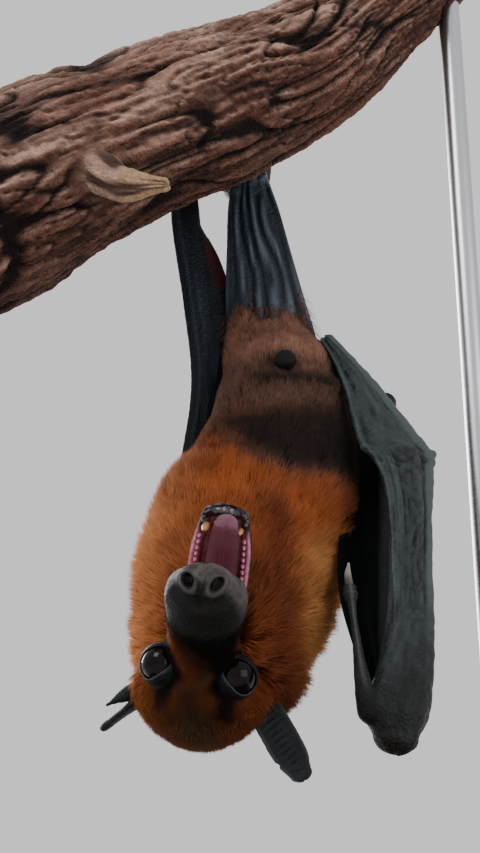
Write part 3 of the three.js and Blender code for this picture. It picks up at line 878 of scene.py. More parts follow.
def head_relief(points):
    """Nostril rims and pits, the nose groove, lip pads, brows and a raised rim round each eye.

    Each is a bell of the distance from its own centre."""
    ahead, left, up = head_place(points)
    side = np.abs(left)
    height = 0.8 * bell(ahead, 18, 5) * bell(side, 8, 3) * bell(up, -12, 3.5)
    height += 0.9 * bell(ahead, -5, 3.5) * bell(side, 8, 3.5) * smooth(0, 4, up)
    height -= 0.9 * bell(left, -0.9, 0.8) * smooth(20, 23, ahead) * smooth(-17, -13, up)
    height -= 0.3 * bell(ahead, 9, 6) * bell(left, 0, 4) * smooth(-4, 0, up)
    height += 0.5 * bell(ahead, 21, 3) * bell(side, 4, 2.2) * bell(up, -5, 3)
    wrinkle = noise(np.stack([ahead / 2.2, side / 5, up / 2.2], -1), seed=22)
    height += 0.22 * wrinkle * smooth(6, 12, ahead)
    height -= 0.5 * bell(left, -0.5, 0.9) * bell(up, -7.5, 3.5) * smooth(22, 25, ahead)
    rho = nostril_reach(ahead, left, up)
    height += 0.5 * bell(rho, 2.2, 0.8) * smooth(2.5, -0.5, up + 7.1 - 0.7 * np.abs(left + 0.5))
    height += 0.2 * bell(rho, 2.2, 0.8)
    height -= 3.4 * smooth(2.0, 0.8, rho)
    return height


def nostril_reach(ahead, left, up):
    """How far a place on the head is from the nearer nostril. The pair lies 0.5 to the right."""
    rise = up + 7.1
    across = (np.abs(left + 0.5) - 4.0 + 0.3 * rise) * 1.2
    return np.sqrt((ahead - 27) ** 2 + across**2 + (rise * 0.75) ** 2)


def settle_round_eyes(points):
    """Skin near an eye is pushed off the eyeball beside its opening, and sinks behind it inside."""
    for side, centre in EYES.items():
        offset = points - centre
        reach = norm(offset)
        angle = np.degrees(np.arccos(np.clip(unit(offset) @ eye_axis(side), -1, 1)))
        rim = EYE_RADIUS + 0.45 - 1.9 * smooth(73, 68, angle) - 0.4 * smooth(84, 106, angle)
        near = smooth(EYE_RADIUS + 2.5, EYE_RADIUS, reach) * smooth(118, 98, angle)
        wanted = np.where(angle < 71, np.minimum(reach, rim), np.maximum(reach, rim))
        target = reach + (wanted - reach) * np.where(reach < rim, 1, near)
        target = np.where(angle < 110, target, reach)
        points = centre + unit(offset) * target[..., None]
    return points


def skin_head():
    """The head's stations less the coat's depth, with the relief of the face and a hollow palate.

    The palate is the underside sunk by up to 4.6 mm between the tooth rows."""
    t = np.concatenate([np.linspace(0, 0.5, 26, endpoint=False), np.linspace(0.5, 1, 76)])
    surface = HEAD.surface(0, 144, dome=24, t=t)
    surface.lift(head_relief(surface.grid) - head_coat(surface.grid))
    ahead, left, up = head_place(surface.grid)
    inner = smooth(0.84, 0.66, np.abs(surface.x)) * (surface.y < 0)
    mouth = inner * smooth(-9, -3, ahead) * smooth(25, 21, ahead)
    surface.sink(-4.6 * mouth)
    surface.grid = settle_round_eyes(surface.grid)
    colour = head_colour(surface.grid)
    haired = smooth(0.4, 1.6, head_coat(surface.grid))
    bare = 1 - haired
    colour = colour * (1 - 0.5 * haired - 0.35 * smooth(12, 8, ahead) * bare)[..., None]
    pebble = 0.85 + 0.5 * surface.speck(1.3, 21)
    # painted light: the upper face of the bare nose pad turns lit grey
    lit = smooth(12, 20, ahead) * smooth(-5.5, -9.5, up - 0.15 * left) * pebble
    colour = blend(colour, LIT_PAD_GREY, np.clip(lit, 0, 1) * bare)
    rho = nostril_reach(ahead, left, up)
    shade = smooth(-6.5, -4, up - 0.1 * left) * smooth(8, 13, ahead)
    colour = blend(colour, linear("#060807"), 0.8 * shade * bare)
    # painted highlight on the lower rims of the nostrils
    colour = blend(colour, linear("#6b6561"), 0.32 * bell(rho, 2.7, 0.6) * smooth(-8.5, -5.5, up))
    # painted shade deep in the nostril pits
    colour = blend(colour, SKIN_DARK * 0.1, smooth(2.4, 1.7, rho))
    eye = nearest(surface.grid, EYES.values())
    colour = blend(colour, SKIN_DARK, smooth(EYE_RADIUS + 2.2, EYE_RADIUS + 0.8, eye))
    colour = blend(colour, GUM, smooth(0.1, 0.5, mouth))
    colour = blend(colour, MOUTH_RED, smooth(0.8, 1.0, mouth) * 0.7)
    material = np.where(mouth > 0.3, LINING, np.where(ahead > 12, BARE, HIDE))
    return surface.paint(colour, np.where(rho < 1.8, SHADE, material))


def skin_lids(side):
    """Eyelids as a ring round the eye's axis, with its colours: near black, and a painted highlight along the
    inner edge on the crown's side.

    A small ellipse is carried on the eyeball round an almond opening. The opening reaches 66 degrees
    from the axis at the corners, 6 more at the front one and 25 less between them, and the lids'
    outer edge lies at 84."""
    axis = eye_axis(side)
    towards = AHEAD - 0.4 * SIDES[side] * LEFT
    corner = unit(towards - axis * (towards @ axis))
    upper = np.cross(axis, corner) * SIDES[side]
    turn = np.linspace(0, TAU, 72, endpoint=False)[:, None]
    section = np.linspace(0, TAU, 24, endpoint=False)[None]
    inner = 66 - 25 * np.abs(np.sin(turn)) ** 1.4 + 6 * np.clip(np.cos(turn), 0, 1) ** 3
    outer = 84.0
    across = -np.cos(section)
    crease = 0.08 * np.sin(4 * TAU * across) * (1 + 0.4 * np.sin(5 * turn))
    radius = EYE_RADIUS + 0.1 + (0.38 + crease) * (np.sin(section) + 0.35)
    angle = np.radians((inner + outer) / 2 - across * (outer - inner) / 2)[..., None]
    spoke = np.cos(turn)[..., None] * corner + np.sin(turn)[..., None] * upper
    grid = EYES[side] + radius[..., None] * (np.cos(angle) * axis + np.sin(angle) * spoke)
    # painted highlight along the inner edge of the lids on the crown's side
    edge = smooth(0.72, 0.95, across) * smooth(-0.2, 0.4, spoke @ CROWN)
    return grid, blend(linear("#080808"), linear("#373e3c"), edge)


def ring_mesh_arrays(grid):
    """Quads over a grid that closes on itself both ways."""
    rows, columns = grid.shape[:2]
    i = np.arange(rows)[:, None]
    j = np.arange(columns)[None]
    down, right = (i + 1) % rows, (j + 1) % columns
    quads = np.stack([i * columns + j, i * columns + right, down * columns + right, down * columns + j], -1)
    return grid.reshape(-1, 3), quads.reshape(-1, 4)


def skin_jaw():
    """The jaw's superellipse with a trough sunk 5.6 mm into its inner side and a rolled lip."""
    surface = JAW.surface(64, 104, dome=8)
    length = surface.t * 0.95 * JAW_LENGTH
    inner = smooth(0.93, 0.60, np.abs(surface.x)) * (surface.y > 0)
    ends = smooth(0.5, 5, length) * smooth(0.95 * JAW_LENGTH + 1.2, 0.95 * JAW_LENGTH - 1.6, length)
    trough = inner * ends
    underside = (surface.y < 0) * np.abs(surface.y)
    coat = 1.4 * underside * smooth(34, 22, length)
    lip = 0.35 * bell(np.abs(surface.x), 0.93, 0.06) * (surface.y > -0.2)
    pebble = 0.12 * surface.speck(0.9, 31)
    surface.lift(lip + pebble - coat)
    surface.sink(5.6 * trough)
    haired = smooth(0.2, 0.6, underside)
    colour = blend(LIP, body_colour(surface.grid) * 0.6, haired * smooth(36, 30, length))
    tip = smooth(0.95 * JAW_LENGTH - 9, 0.95 * JAW_LENGTH - 4, length)
    speckle = smooth(0.15, 0.45, surface.speck(0.45, 33)) * (0.2 + 0.8 * tip)
    colour = blend(colour, linear("#8b8587"), speckle * (1 - haired) * 0.7)
    pink = LIP_PINK * (0.85 + 0.25 * surface.speck(1.1, 32)[..., None])
    colour = blend(colour, pink, smooth(0.98, 0.92, np.abs(surface.x)) * (surface.y > 0) * (1 - tip))
    colour = blend(colour, GUM, smooth(0.6, 0.85, trough))
    colour = blend(colour, MOUTH_RED, smooth(0.8, 0.98, trough))
    # painted shade deep in the mouth, towards the hinge
    colour = blend(colour, MOUTH_RED * 0.4, smooth(16, 4, length) * trough)
    return surface.paint(colour, np.where(trough > 0.08, LINING, np.where(haired > 0.6, HIDE, BARE)))


def skin_furred(limb, rings, around, coat, seed):
    """A limb less its coat, with low muscle relief of smooth noise; its colour is the coat's roots."""
    surface = limb.surface(rings, around, dome=6)
    surface.lift(0.5 * surface.speck(9, seed) - coat(surface.grid))
    return surface.paint(body_colour(surface.grid) * 0.55, HIDE)


def skin_torso():
    """Neck and trunk in one, less the coat."""
    return skin_furred(TORSO, 78, 80, torso_coat, 1)


def skin_ear_left():
    """A leaf that is hollow in front, with ridges across it 1.9 mm apart and a rolled rim. Its grey is
    painted lighter on the ridges and darker between them.
    """
    surface = EAR["left"].surface(84, 60, dome=8)
    front = smooth(0, 0.4, surface.y)
    side = np.abs(surface.x)
    run = surface.run()
    hollow = smooth(0.9, 0.3, side) * front * smooth(0.0, 0.15, surface.t) * smooth(1.0, 0.85, surface.t)
    ridge = np.sin(TAU * (run + 0.8 * surface.x) / 1.9)
    ridges = ridge * bell(surface.x, -0.05, 0.42) * front
    ridges = ridges * smooth(0.12, 0.3, surface.t) * smooth(0.86, 0.7, surface.t)
    notch = 0.9 * bell(surface.t, 0.68, 0.03) * smooth(-0.75, -0.95, surface.x)
    fine = 0.08 * surface.speck(0.7, 41)
    surface.lift(0.3 * ridges - 0.75 * hollow + 0.3 * bell(side, 0.93, 0.08) * front - notch + fine)
    # painted light on the ridges and shade between them
    tone = SKIN_GREY * (0.9 + 0.35 * ridges + 0.2 * surface.speck(2, 42))[..., None]
    return surface.paint(blend(tone, linear("#565a5b"), bell(side, 0.95, 0.1) * 0.5), BARE)


def skin_plain_ear(limb, seed):
    """An ear's leaf or lobe with a fine grain."""
    surface = limb.surface(40, 30, dome=7)
    surface.lift(0.1 * surface.speck(0.9, seed) - 0.1)
    return surface.paint(SKIN_GREY * (1.0 + 0.35 * surface.speck(2.2, seed + 1)[..., None]), BARE)


def skin_hand_left():
    """The folded left hand: finger ridges along it, cords at the inner edge and fine cross wrinkles. Painted
    highlights lie on its raised ridges and along the outer edge, and painted shade in its grooves and on its
    back.

    x is +1 at the edge beside the body and -1 at the outer edge; t is 0 past the wrist, 7/12 at the
    knuckles and 1 at the finger tips. Each ridge is a bell across x."""
    surface = HAND["left"].surface(160, 96, dome=10)
    x, t = surface.x, surface.t
    front = smooth(-0.1, 0.35, surface.y)
    palm = smooth(0.2, 0.3, t) * smooth(0.66, 0.58, t)
    high = smooth(0.6, 0.68, t)
    height = 0.7 * bell(x, -0.93, 0.13) * smooth(0.1, 0.25, t) - 0.55 * bell(x, -0.64, 0.08) * palm
    height += 0.25 * bell(x, -0.45, 0.08) * palm
    fan = 0.16 * smooth(0.42, 0.2, t)
    for place, rise in ((0.95, 0.7), (0.78, 0.5), (0.62, 0.4), (0.47, 0.25)):
        height += rise * bell(x, place - 1.6 * fan, 0.045) * palm
    height -= 0.5 * bell(x, 0.36 - fan, 0.08) * palm
    height += (0.8 * bell(x, -0.94, 0.1) - 0.5 * bell(x, -0.72, 0.12) + 0.7 * bell(x, 0.94, 0.09)) * high
    height += (0.2 * bell(x, 0.35, 0.06) + 0.15 * bell(x, 0.0, 0.06) - 0.3 * bell(x, 0.7, 0.16)) * high
    outer_knuckle = 1.1 * bell(t, 0.588, 0.014) * bell(x, -0.96, 0.16)
    height += outer_knuckle + 0.9 * bell(t, 0.655, 0.014) * bell(x, 0.97, 0.14)
    height += 0.35 * bell(t, 0.5, 0.008) * bell(x, 0.5, 0.3)
    run = surface.run()
    strands = noise(np.stack([run / 8.0 + x * 0.6, x * 6.5 + 0.4 * np.sin(run / 6)], -1), seed=51)
    grain = noise(np.stack([run / 1.7, x * 9], -1), seed=52)
    gather = noise(np.stack([run / 1.8 - 3.2 * x, x * 1.6 + run / 9], -1), seed=53)
    middle = bell(x, -0.08, 0.42) * palm
    height += front * (
        0.3 * strands + 0.2 * grain + 0.4 * grain * middle + 0.5 * gather * bell(t, 0.56, 0.06)
    )
    height += 0.12 * surface.speck(3.0, 54) * (1 - palm)
    surface.lift(height * smooth(-0.35, 0.2, surface.y) + 0.08 * surface.speck(2.2, 55) - 0.25)
    tone = MEMBRANE * (1 + 0.25 * strands * front + 0.7 * (grain * middle))[..., None]
    # painted highlights on the raised ridges
    tone = blend(tone, MEMBRANE * 2.6, np.clip(height, 0, 1) * 0.8)
    # painted highlight along the outer edge
    tone = blend(tone, MEMBRANE * 2.9, 0.7 * smooth(-0.55, -0.75, x))
    # painted shade in the grooves
    tone = blend(tone, MEMBRANE_SHADE, smooth(-0.1, -0.6, height) * 0.85)
    tone = blend(tone, MEMBRANE * 0.6, middle * 0.6)
    tone = blend(tone, SKIN_DARK, 0.9 * smooth(0.29, 0.13, t + 0.03 * gather + 0.05 * x))
    # painted shade over the back of the hand
    return surface.paint(blend(MEMBRANE_SHADE, tone, smooth(-0.5, 0.1, surface.y)), WEB)


def skin_hand_right():
    """The folded right hand: a strap with two ridges along it and fine lengthwise wrinkles, with painted
    highlights on the ridges.
    """
    surface = HAND["right"].surface(110, 44, dome=8)
    x, t = surface.x, surface.t
    strands = surface.strand(20, 4.5, 61)
    ridge = bell(x, -0.5, 0.07) + 0.5 * bell(x, 0.45 - 0.6 * t, 0.07) * smooth(0.9, 0.7, t)
    height = 0.55 * ridge + 0.3 * bell(np.abs(x), 0.92, 0.1) + 0.2 * strands
    surface.lift(height * 0.8 - 0.35)
    tone = MEMBRANE_BLUE * (0.45 + 0.2 * strands[..., None])
    # painted highlights on the two ridges
    tone = blend(tone, MEMBRANE_BLUE * 2.2, ridge * 0.7)
    return surface.paint(blend(tone, SKIN_DARK, smooth(0.3, 0.12, t) * 0.7), WEB)


def skin_bone(limb, rings, around, seed, tone, knob=0.0):
    """A bare limb: its own profile, lengthwise sinews, and a knob of that height at each end."""
    surface = limb.surface(rings, around, dome=7)
    sinew = surface.strand(5, 2.4, seed)
    ends = bell(surface.t, 0.02, 0.08) + bell(surface.t, 0.98, 0.08)
    surface.lift(0.22 * sinew + knob * ends - 0.25)
    return surface.paint(tone * (0.9 + 0.35 * sinew + 0.2 * surface.speck(1.5, seed + 1))[..., None], BARE)


def skin_thumb(side):
    """The thumb: a slim shaft with a knuckle before the claw's sheath, creased round its bends."""
    limb = Limb(WING[side]["thumb"], [4.2, 2.5, 1.4, 1.3, 1.9], start=4, end=1.4)
    surface = limb.surface(60, 24, dome=6)
    knuckle = bell(surface.t, 0.9, 0.06) * 0.55
    crease = 0.14 * np.sin(surface.t * 90) * bell(surface.t, 0.9, 0.09)
    surface.lift(knuckle + crease + 0.12 * surface.speck(1.4, 66) - 0.2)
    tone = linear("#15191a") * (1 + 0.4 * surface.speck(1.8, 67)[..., None])
    shine = 0.6 * bell(surface.x, -0.1, 0.25) * (surface.y > 0) * smooth(0.1, 0.4, surface.t)
    tone = blend(tone, linear("#565350"), shine)
    return surface.paint(blend(tone, SKIN_DARK, smooth(0.3, 0.05, surface.t)), BARE)


def skin_sheet(limb, seed, tone, pleats, glow=0.0, material=WEB):
    """A membrane: a thin flat limb with pleats along it as sines across, and smooth puckers. Its colour is
    painted lighter and darker with the pleats and puckers, and glow paints the red of backlight shining
    through it.
    """
    surface = limb.surface(60, 40, dome=3)
    pucker = surface.strand(9, 3, seed)
    wave = np.sin(surface.x * pleats + 1.5 * surface.t) * 0.35
    surface.sink(-(wave + 0.3 * pucker) * smooth(1.0, 0.75, np.abs(surface.x)))
    # painted light and shade that follow the pleats and puckers
    colour = tone * (0.9 + 0.3 * pucker[..., None] + 0.5 * wave[..., None])
    # painted red glow of backlight through the membrane
    painted_backlight = glow * smooth(0.08, 0.2, surface.t) * smooth(0.52, 0.4, surface.t) * smooth(-0.1, 0.5, surface.x)
    return surface.paint(blend(colour, RED_GLOW, painted_backlight), material)


def skin_leg_membrane():
    """The gathered leg membrane: seven deep pleats along it that fan out towards the thighs, with painted
    highlights on their raised folds and paler crumpled skin at the ankles.
    """
    surface = LEG_MEMBRANE.surface(92, 128, dome=5)
    x, t = surface.x, surface.t
    sway = surface.strand(3, 2.2, 72)
    fold = np.abs(np.sin(x * 8.5 + 2.6 * sway + 0.5)) ** 0.8
    pucker = surface.strand(6, 9, 71)
    crumple = surface.strand(60, 5, 73) * smooth(0.2, 0.02, t)
    height = (1.1 + 0.5 * sway) * fold - 1.1 + 0.35 * pucker + 0.5 * crumple
    surface.lift(height * smooth(1.0, 0.9, np.abs(x)) - 0.1)
    # painted highlights on the pleats' raised folds, painted shade in the troughs
    crest_highlight = np.clip(fold**4 * (0.6 + 0.9 * pucker), 0, 1)
    tone = blend(MEMBRANE_BLUE * 0.7, linear("#474f58"), crest_highlight)
    # paler crumpled skin near the ankles: partly its own colour, partly painted highlight
    tone = blend(tone, linear("#6b777d"), np.clip(smooth(0.14, 0.0, t) * (0.4 + crumple), 0, 1))
    return surface.paint(tone, WEB)


def skin_foot(side):
    """The sole lies up the back of the branch, with creases across it."""
    path = [LEG[side]["ankle"], *grip_path(side, (-42, 4.6), (-22, 4.2), (-4, 3.8))]
    limb = Limb(path, [3.4, 4, 4.4, 4.4], [3.2, 3, 2.6, 2.2], facing=(0.15, 1, 0))
    surface = limb.surface(52, 32, dome=6)
    crease = surface.strand(26, 1.5, 75)
    surface.lift(0.25 * crease - 0.25)
    return surface.paint(linear("#30363a") * (0.85 + 0.35 * crease[..., None]), BARE)


def toe_offset(index):
    """How far a toe lies sideways from the middle one."""
    return (index - (TOES - 1) / 2) * 1.9


def skin_toes(side):
    """Five toes of a knuckled round section, from the sole to the claws' roots."""
    toes = []
    for index in range(TOES):
        offset = toe_offset(index)
        path = grip_path(side, (-8, 3.6, offset * 0.85), (0, 4.1, offset * 0.95), (8, 4.0, offset))
        limb = Limb(path, [1.45, 1.35, 1.15], facing=(1, 0, 0.1), start=1, end=1)
        surface = limb.surface(20, 12, dome=4)
        surface.lift(0.2 * np.sin(surface.t * 16))
        toes.append(surface.paint(linear("#2b3034"), BARE))
    return toes


def skin_groin():
    """A ball of bare dark skin in a paler sheath, with a fold round it."""
    low, high = node_box("groin_bump")
    centre, radius = (low + high) / 2, (high - low).max() / 2
    path = [centre + [0.6, 6, -1], centre + [0.2, 2.4, -0.4], centre]
    limb = Limb(path, [radius * 1.15, radius * 1.1, radius], facing=(1, 0, 0), end=radius * 0.9)
    surface = limb.surface(30, 36, dome=9)
    fold = surface.speck(1.6, 78)
    surface.lift(0.25 * fold - 0.3)
    return surface.paint(blend(linear("#3a2a24"), linear("#080708"), smooth(0.55, 0.8, surface.t)), BARE)


def skin_surfaces():
    """Every part of the skin that is joined into one."""
    surfaces = [skin_torso(), skin_head(), skin_jaw(), skin_ear_left()]
    surfaces += [skin_plain_ear(EAR["right"], 43), skin_plain_ear(EAR_LOBE, 45)]
    for number, side in enumerate(SIDES):
        surfaces.append(skin_furred(thigh(side), 26, 36, thigh_coat, 4 + number))
        surfaces.append(skin_furred(upper_arm(side), 26, 36, arm_coat, 6 + number))
        surfaces.append(skin_bone(shin(side), 52, 28, 81 + number, linear("#1c242a"), 0.3))
        surfaces.append(skin_bone(forearm(side), 46, 22, 83 + number, SKIN_GREY * 0.5, 0.3))
        surfaces.append(skin_thumb(side))
        surfaces.append(skin_foot(side))
        surfaces += skin_toes(side)
    surfaces += [skin_hand_left(), skin_hand_right(), skin_leg_membrane(), skin_groin()]
    # the arm membranes are painted near black: painted shade in the gap between body and wing
    surfaces.append(skin_sheet(ARM_MEMBRANE["left"], 91, MEMBRANE_SHADE, 7, material=SHADE))
    surfaces.append(skin_sheet(ARM_MEMBRANE["right"], 92, MEMBRANE_SHADE * 1.5, 6, material=SHADE))
    surfaces.append(skin_sheet(SIDE_MEMBRANE, 93, MEMBRANE_BLUE * 0.55, 4, glow=0.8))
    return surfaces


def lid_part(side, materials):
    """The lids of one eye as a closed ring, turned outwards."""
    grid, tone = skin_lids(side)
    points, quads = ring_mesh_arrays(grid)
    first, second, third, fourth = (points[quads[:, i]] - EYES[side] for i in range(4))
    volume = (first * np.cross(second, third)).sum() + (first * np.cross(third, fourth)).sum()
    if volume < 0:
        quads = quads[:, ::-1]
    tone = tone.reshape(-1, 3) * (1 + 0.4 * noise(points / 0.8, seed=24)[:, None])
    numbers = np.full(len(quads), BARE)
    return add_mesh("lid_part", points, quads, materials=materials, numbers=numbers, tone=tone)


# ---- Coat ----

TUFT = (
    np.array(
        [
            [0, 2, 1], [0, 1, 4], [0, 4, 3], [1, 2, 5], [1, 5, 4], [2, 0, 3], [2, 3, 5], [3, 4, 6],
            [4, 5, 6], [5, 3, 6],
        ]
    ),
    np.array([[0, 0], [0.5, 0], [1, 0], [0, 0.5], [0.5, 0.5], [1, 0.5], [0.5, 1]]),
)
SPIKE = (
    np.array([[0, 2, 1], [0, 1, 3], [1, 2, 3], [2, 0, 3]]),
    np.array([[0, 0], [0.5, 0], [1, 0], [0.5, 1]]),
)
PATCH = 0.003  # the width of a tuft's own patch in the unwrap
MOST_TRIANGLES = 200000


class Roots:
    """Where tufts grow: place, normal, the way the coat lies, and a place on the surface's unwrap."""

    def __init__(self, surface, count, weight, rng, towards=1, tile=(0.0, 1.0)):
        grid = surface.grid
        side_step = np.roll(grid, -1, axis=1) - grid
        long_step = np.diff(grid, axis=0)
        area = norm(np.cross(side_step[:-1], long_step)) * weight[:-1]
        pick = rng.choice(area.size, count, p=(area / area.sum()).ravel())
        i, j = np.divmod(pick, grid.shape[1])
        beside = (j + 1) % grid.shape[1]
        u, v = rng.random((2, count, 1))

        def mix(field):
            near = field[i, j] * (1 - u) + field[i, beside] * u
            return near * (1 - v) + (field[i + 1, j] * (1 - u) + field[i + 1, beside] * u) * v

        self.place = mix(grid)
        self.normal = unit(mix(surface.normals()))
        flow = unit(towards * mix(np.gradient(grid, axis=0)))
        self.flow = unit(flow - self.normal * (flow * self.normal).sum(-1, keepdims=True))
        low, high = tile
        rows = low + (high - low) * (i + v[:, 0]) / (grid.shape[0] - 1)
        self.unwrap = np.stack([(j + u[:, 0]) / grid.shape[1], rows], -1)

    def keep(self, wanted):
        """Keeps the roots that are wanted, by mask or slice."""
        for name in ("place", "normal", "flow", "unwrap"):
            setattr(self, name, getattr(self, name)[wanted])
        return self

    def outside(self, *limbs):
        """Drops roots that lie inside other parts of the body."""
        hidden = np.zeros(len(self.place), bool)
        for limb, inset in limbs:
            hidden |= limb.holds(self.place, inset)
        return self.keep(~hidden)


def in_locks(place, value, size):
    """The mean of a value over each lock: the tufts that share a cell of warped space of that size."""
    warp = np.stack([noise(place / (1.6 * size), seed=seed) for seed in (104, 105, 106)], -1)
    _, lock = np.unique(np.floor(place / size + 0.8 * warp).astype(int), axis=0, return_inverse=True)
    lock = lock.ravel()
    count = np.bincount(lock)
    mean = np.stack([np.bincount(lock, column) / count for column in value.T], -1)
    return mean[lock], lock


def tuft_rows(kind, roots, depth, stretch, width, colour, tip_colour, rng, lock=2.6, pull=0.5):
    """Tufts, each a flattened cone of three sides: a root, for a bent one a middle, and a tip.

    A tuft rises to the coat's depth over a length that is stretch times it. A bent one rises by 1.3
    times its mean lean and then by 0.7 times. Noise turns neighbours together, and each tip is
    pulled part of the way to the mean tip of its lock."""
    faces, flat = kind
    count = len(roots.place)
    shade = rng.random(count)
    reach = 1 - 0.5 * rng.random(count) ** 2
    length = (depth * stretch + 0.6) * reach * (0.9 + 0.2 * rng.random(count))
    lean = np.arcsin(np.clip(depth * reach / length, 0.05, 0.93))
    beside = np.cross(roots.normal, roots.flow)
    turn = 0.4 * noise(roots.place / 7, seed=101) + 0.4 * noise(roots.place / 2.3, seed=102)
    turn = turn + 0.3 * rng.standard_normal(count)
    way = np.cos(turn)[:, None] * roots.flow + np.sin(turn)[:, None] * beside
    side = np.cross(roots.normal, way)
    half = length[:, None] / 2
    low, high = np.clip(lean * 1.3, 0, 1.35)[:, None], (lean * 0.7)[:, None]
    middle = roots.place + half * (np.cos(low) * way + np.sin(low) * roots.normal)
    tip = middle + half * (np.cos(high) * way + np.sin(high) * roots.normal)
    mean, member = in_locks(roots.place, tip, lock)
    lit = (0.8 + 0.4 * rng.random(member.max() + 1))[member]
    tip = tip + pull * (mean - tip)
    middle = middle + 0.35 * pull * (mean - middle) * (kind is TUFT)
    width = (width * (0.75 + 0.5 * rng.random(count)))[:, None]
    base = roots.place - roots.normal * 0.35
    across, rise = side * width / 2, roots.normal * width * 0.32
    ring = [base + across, base + rise, base - across]
    light = (lit * (0.78 + 0.44 * shade))[:, None]
    tone = [colour * 0.45 * light] * 3
    if kind is TUFT:
        ring += [middle + across * 0.8, middle + rise * 0.8, middle - across * 0.8]
        tone += [colour * 0.9 * light] * 3
    points = np.stack([*ring, tip], axis=1)
    tone = np.stack([*tone, tip_colour * (0.85 + 0.4 * shade[:, None]) * lit[:, None]], axis=1)
    patch = roots.unwrap[:, None] * (1 - PATCH) + flat[None] * PATCH
    return faces, points, tone, patch


def add_coat(name, rows, material):
    """One coat piece from rows of tufts, with its patches in the map OFBake."""
    triangles, start = [], 0
    for faces, points, tone, patch in rows:
        steps = start + np.arange(len(points))[:, None, None] * points.shape[1]
        triangles.append((faces[None] + steps).reshape(-1, 3))
        start += points.shape[0] * points.shape[1]
    triangles = np.concatenate(triangles)
    if len(triangles) >= MOST_TRIANGLES:
        raise RuntimeError(f"{name} has {len(triangles)} triangles")
    _, *fields = zip(*rows)
    points, tone, patch = (
        np.concatenate([part.reshape(-1, part.shape[-1]) for part in field]) for field in fields
    )
    thing = add_mesh(name, points, triangles=triangles, materials=[material], tone=tone)
    layer = thing.data.uv_layers.new(name="OFBake")
    layer.data.foreach_set("uv", patch[triangles.ravel()].astype(np.float32).ravel())
    return thing


def inset_limbs(*names):
    """Furred and bare parts by name, each with the depth that its coat takes off it."""
    parts = {
        "head": (HEAD, 3.5),
        "torso": (TORSO, 7.0),
        "jaw": (JAW, 1.0),
        "hand_left": (HAND["left"], 0.3),
        "hand_right": (HAND["right"], 0.3),
        "leg_membrane": (LEG_MEMBRANE, 0.5),
        "thigh_left": (thigh("left"), 3.2),
        "thigh_right": (thigh("right"), 3.2),
        "arm_left": (upper_arm("left"), 3.0),
        "arm_right": (upper_arm("right"), 3.0),
    }
    return [parts[name] for name in names]


def head_rows(kind, most, rng, face):
    """Tufts of the head's front, or of its crown, cheeks and nape, all lying back from the nose.

    None grow in the mouth, on the eye's opening or on the nose pad."""
    surface = skin_head()
    ahead, left, _ = head_place(surface.grid)
    eye = nearest(surface.grid, EYES.values())
    weight = smooth(EYE_RADIUS + 0.7, EYE_RADIUS + 1.2, eye) * smooth(15, 8, ahead)
    weight = weight * (surface.material != LINING)
    weight = weight * (0.6 + 0.9 * bell(ahead, 5, 8) * (np.abs(left) < 9))
    weight = weight * ((ahead > -9) if face else (ahead <= -9))
    roots = Roots(surface, int(most * 1.5), weight, rng, towards=-1)
    roots.outside(*inset_limbs("torso", "jaw")).keep(slice(most))
    ahead = head_place(roots.place)[0]
    eye = nearest(roots.place, EYES.values())
    depth = head_coat(roots.place) * (0.25 + 0.75 * smooth(EYE_RADIUS + 0.4, EYE_RADIUS + 3.5, eye))
    depth = np.maximum(depth, 0.55)
    colour = head_colour(roots.place)
    fringe = smooth(-4, -16, ahead)[:, None]
    pale = smooth(0.02, 0.06, colour.sum(-1, keepdims=True))
    tip = colour * (1.25 + 0.5 * fringe) + linear("#c9a27a") * 0.11 * fringe * pale
    width = 0.17 + 0.12 * smooth(0.6, 3.5, depth)
    pull = 0.45 * smooth(0.8, 2.5, depth)[:, None]
    stretch = 1.9 - 0.6 * smooth(-10, -20, ahead)
    return tuft_rows(kind, roots, depth, stretch, width, colour, tip, rng, 2.2, pull)


def jaw_rows(most, rng):
    """Short tufts under the jaw, lying back towards the throat."""
    surface = skin_jaw()
    weight = (surface.material == HIDE) * 1.0
    roots = Roots(surface, most, weight, rng, towards=-1).outside(*inset_limbs("head"))
    colour = body_colour(roots.place)
    return tuft_rows(TUFT, roots, np.full(len(roots.place), 1.2), 2.4, 0.24, colour * 1.3, colour, rng)


def body_rows(kind, surface, coat, most, rng, weight, others, tile=(0.0, 1.0), width=0.34, stretch=1.5):
    """Tufts of the neck, trunk or a limb. They lie along it, and round the mouth they part outwards."""
    roots = Roots(surface, int(most * 1.5), weight, rng, tile=tile)
    roots.outside(*inset_limbs(*others)).keep(slice(most))
    part = unit(roots.place - np.array([0, -44, 122.0]))
    part = part - roots.normal * (part * roots.normal).sum(-1, keepdims=True)
    x, y, z = roots.place.T
    near = 0.9 * smooth(158, 132, z)[:, None]
    roots.flow = unit(roots.flow * (1 - 0.6 * near) + part * near)
    depth = coat(roots.place)
    colour = body_colour(roots.place)
    mane = (smooth(88, 100, z) * smooth(168, 150, z))[:, None]
    pale = 0.5 + 0.5 * noise(roots.place / 5, seed=111)[:, None]
    # pale tips grow towards both flanks: partly the coat's own pale tips, partly painted rim light at the
    # body's edges
    pale = pale * (0.3 + 0.9 * smooth(-20, -32, x) + 0.5 * smooth(18, 28, x))[:, None]
    belly = smooth(172, 180, z)[:, None] * pale
    groin = 0.03 * smooth(180, 186, z)[:, None] * smooth(6, -2, y)[:, None]
    pale_tips_and_rim_light = 0.16 * mane * pale + 0.035 * belly + groin
    tip = colour * (1.3 + 0.35 * mane) + linear("#d8b48c") * pale_tips_and_rim_light
    stretch = stretch - 0.55 * smooth(-12, -26, x) * mane[:, 0]
    return tuft_rows(kind, roots, depth, stretch, width, colour, tip, rng)


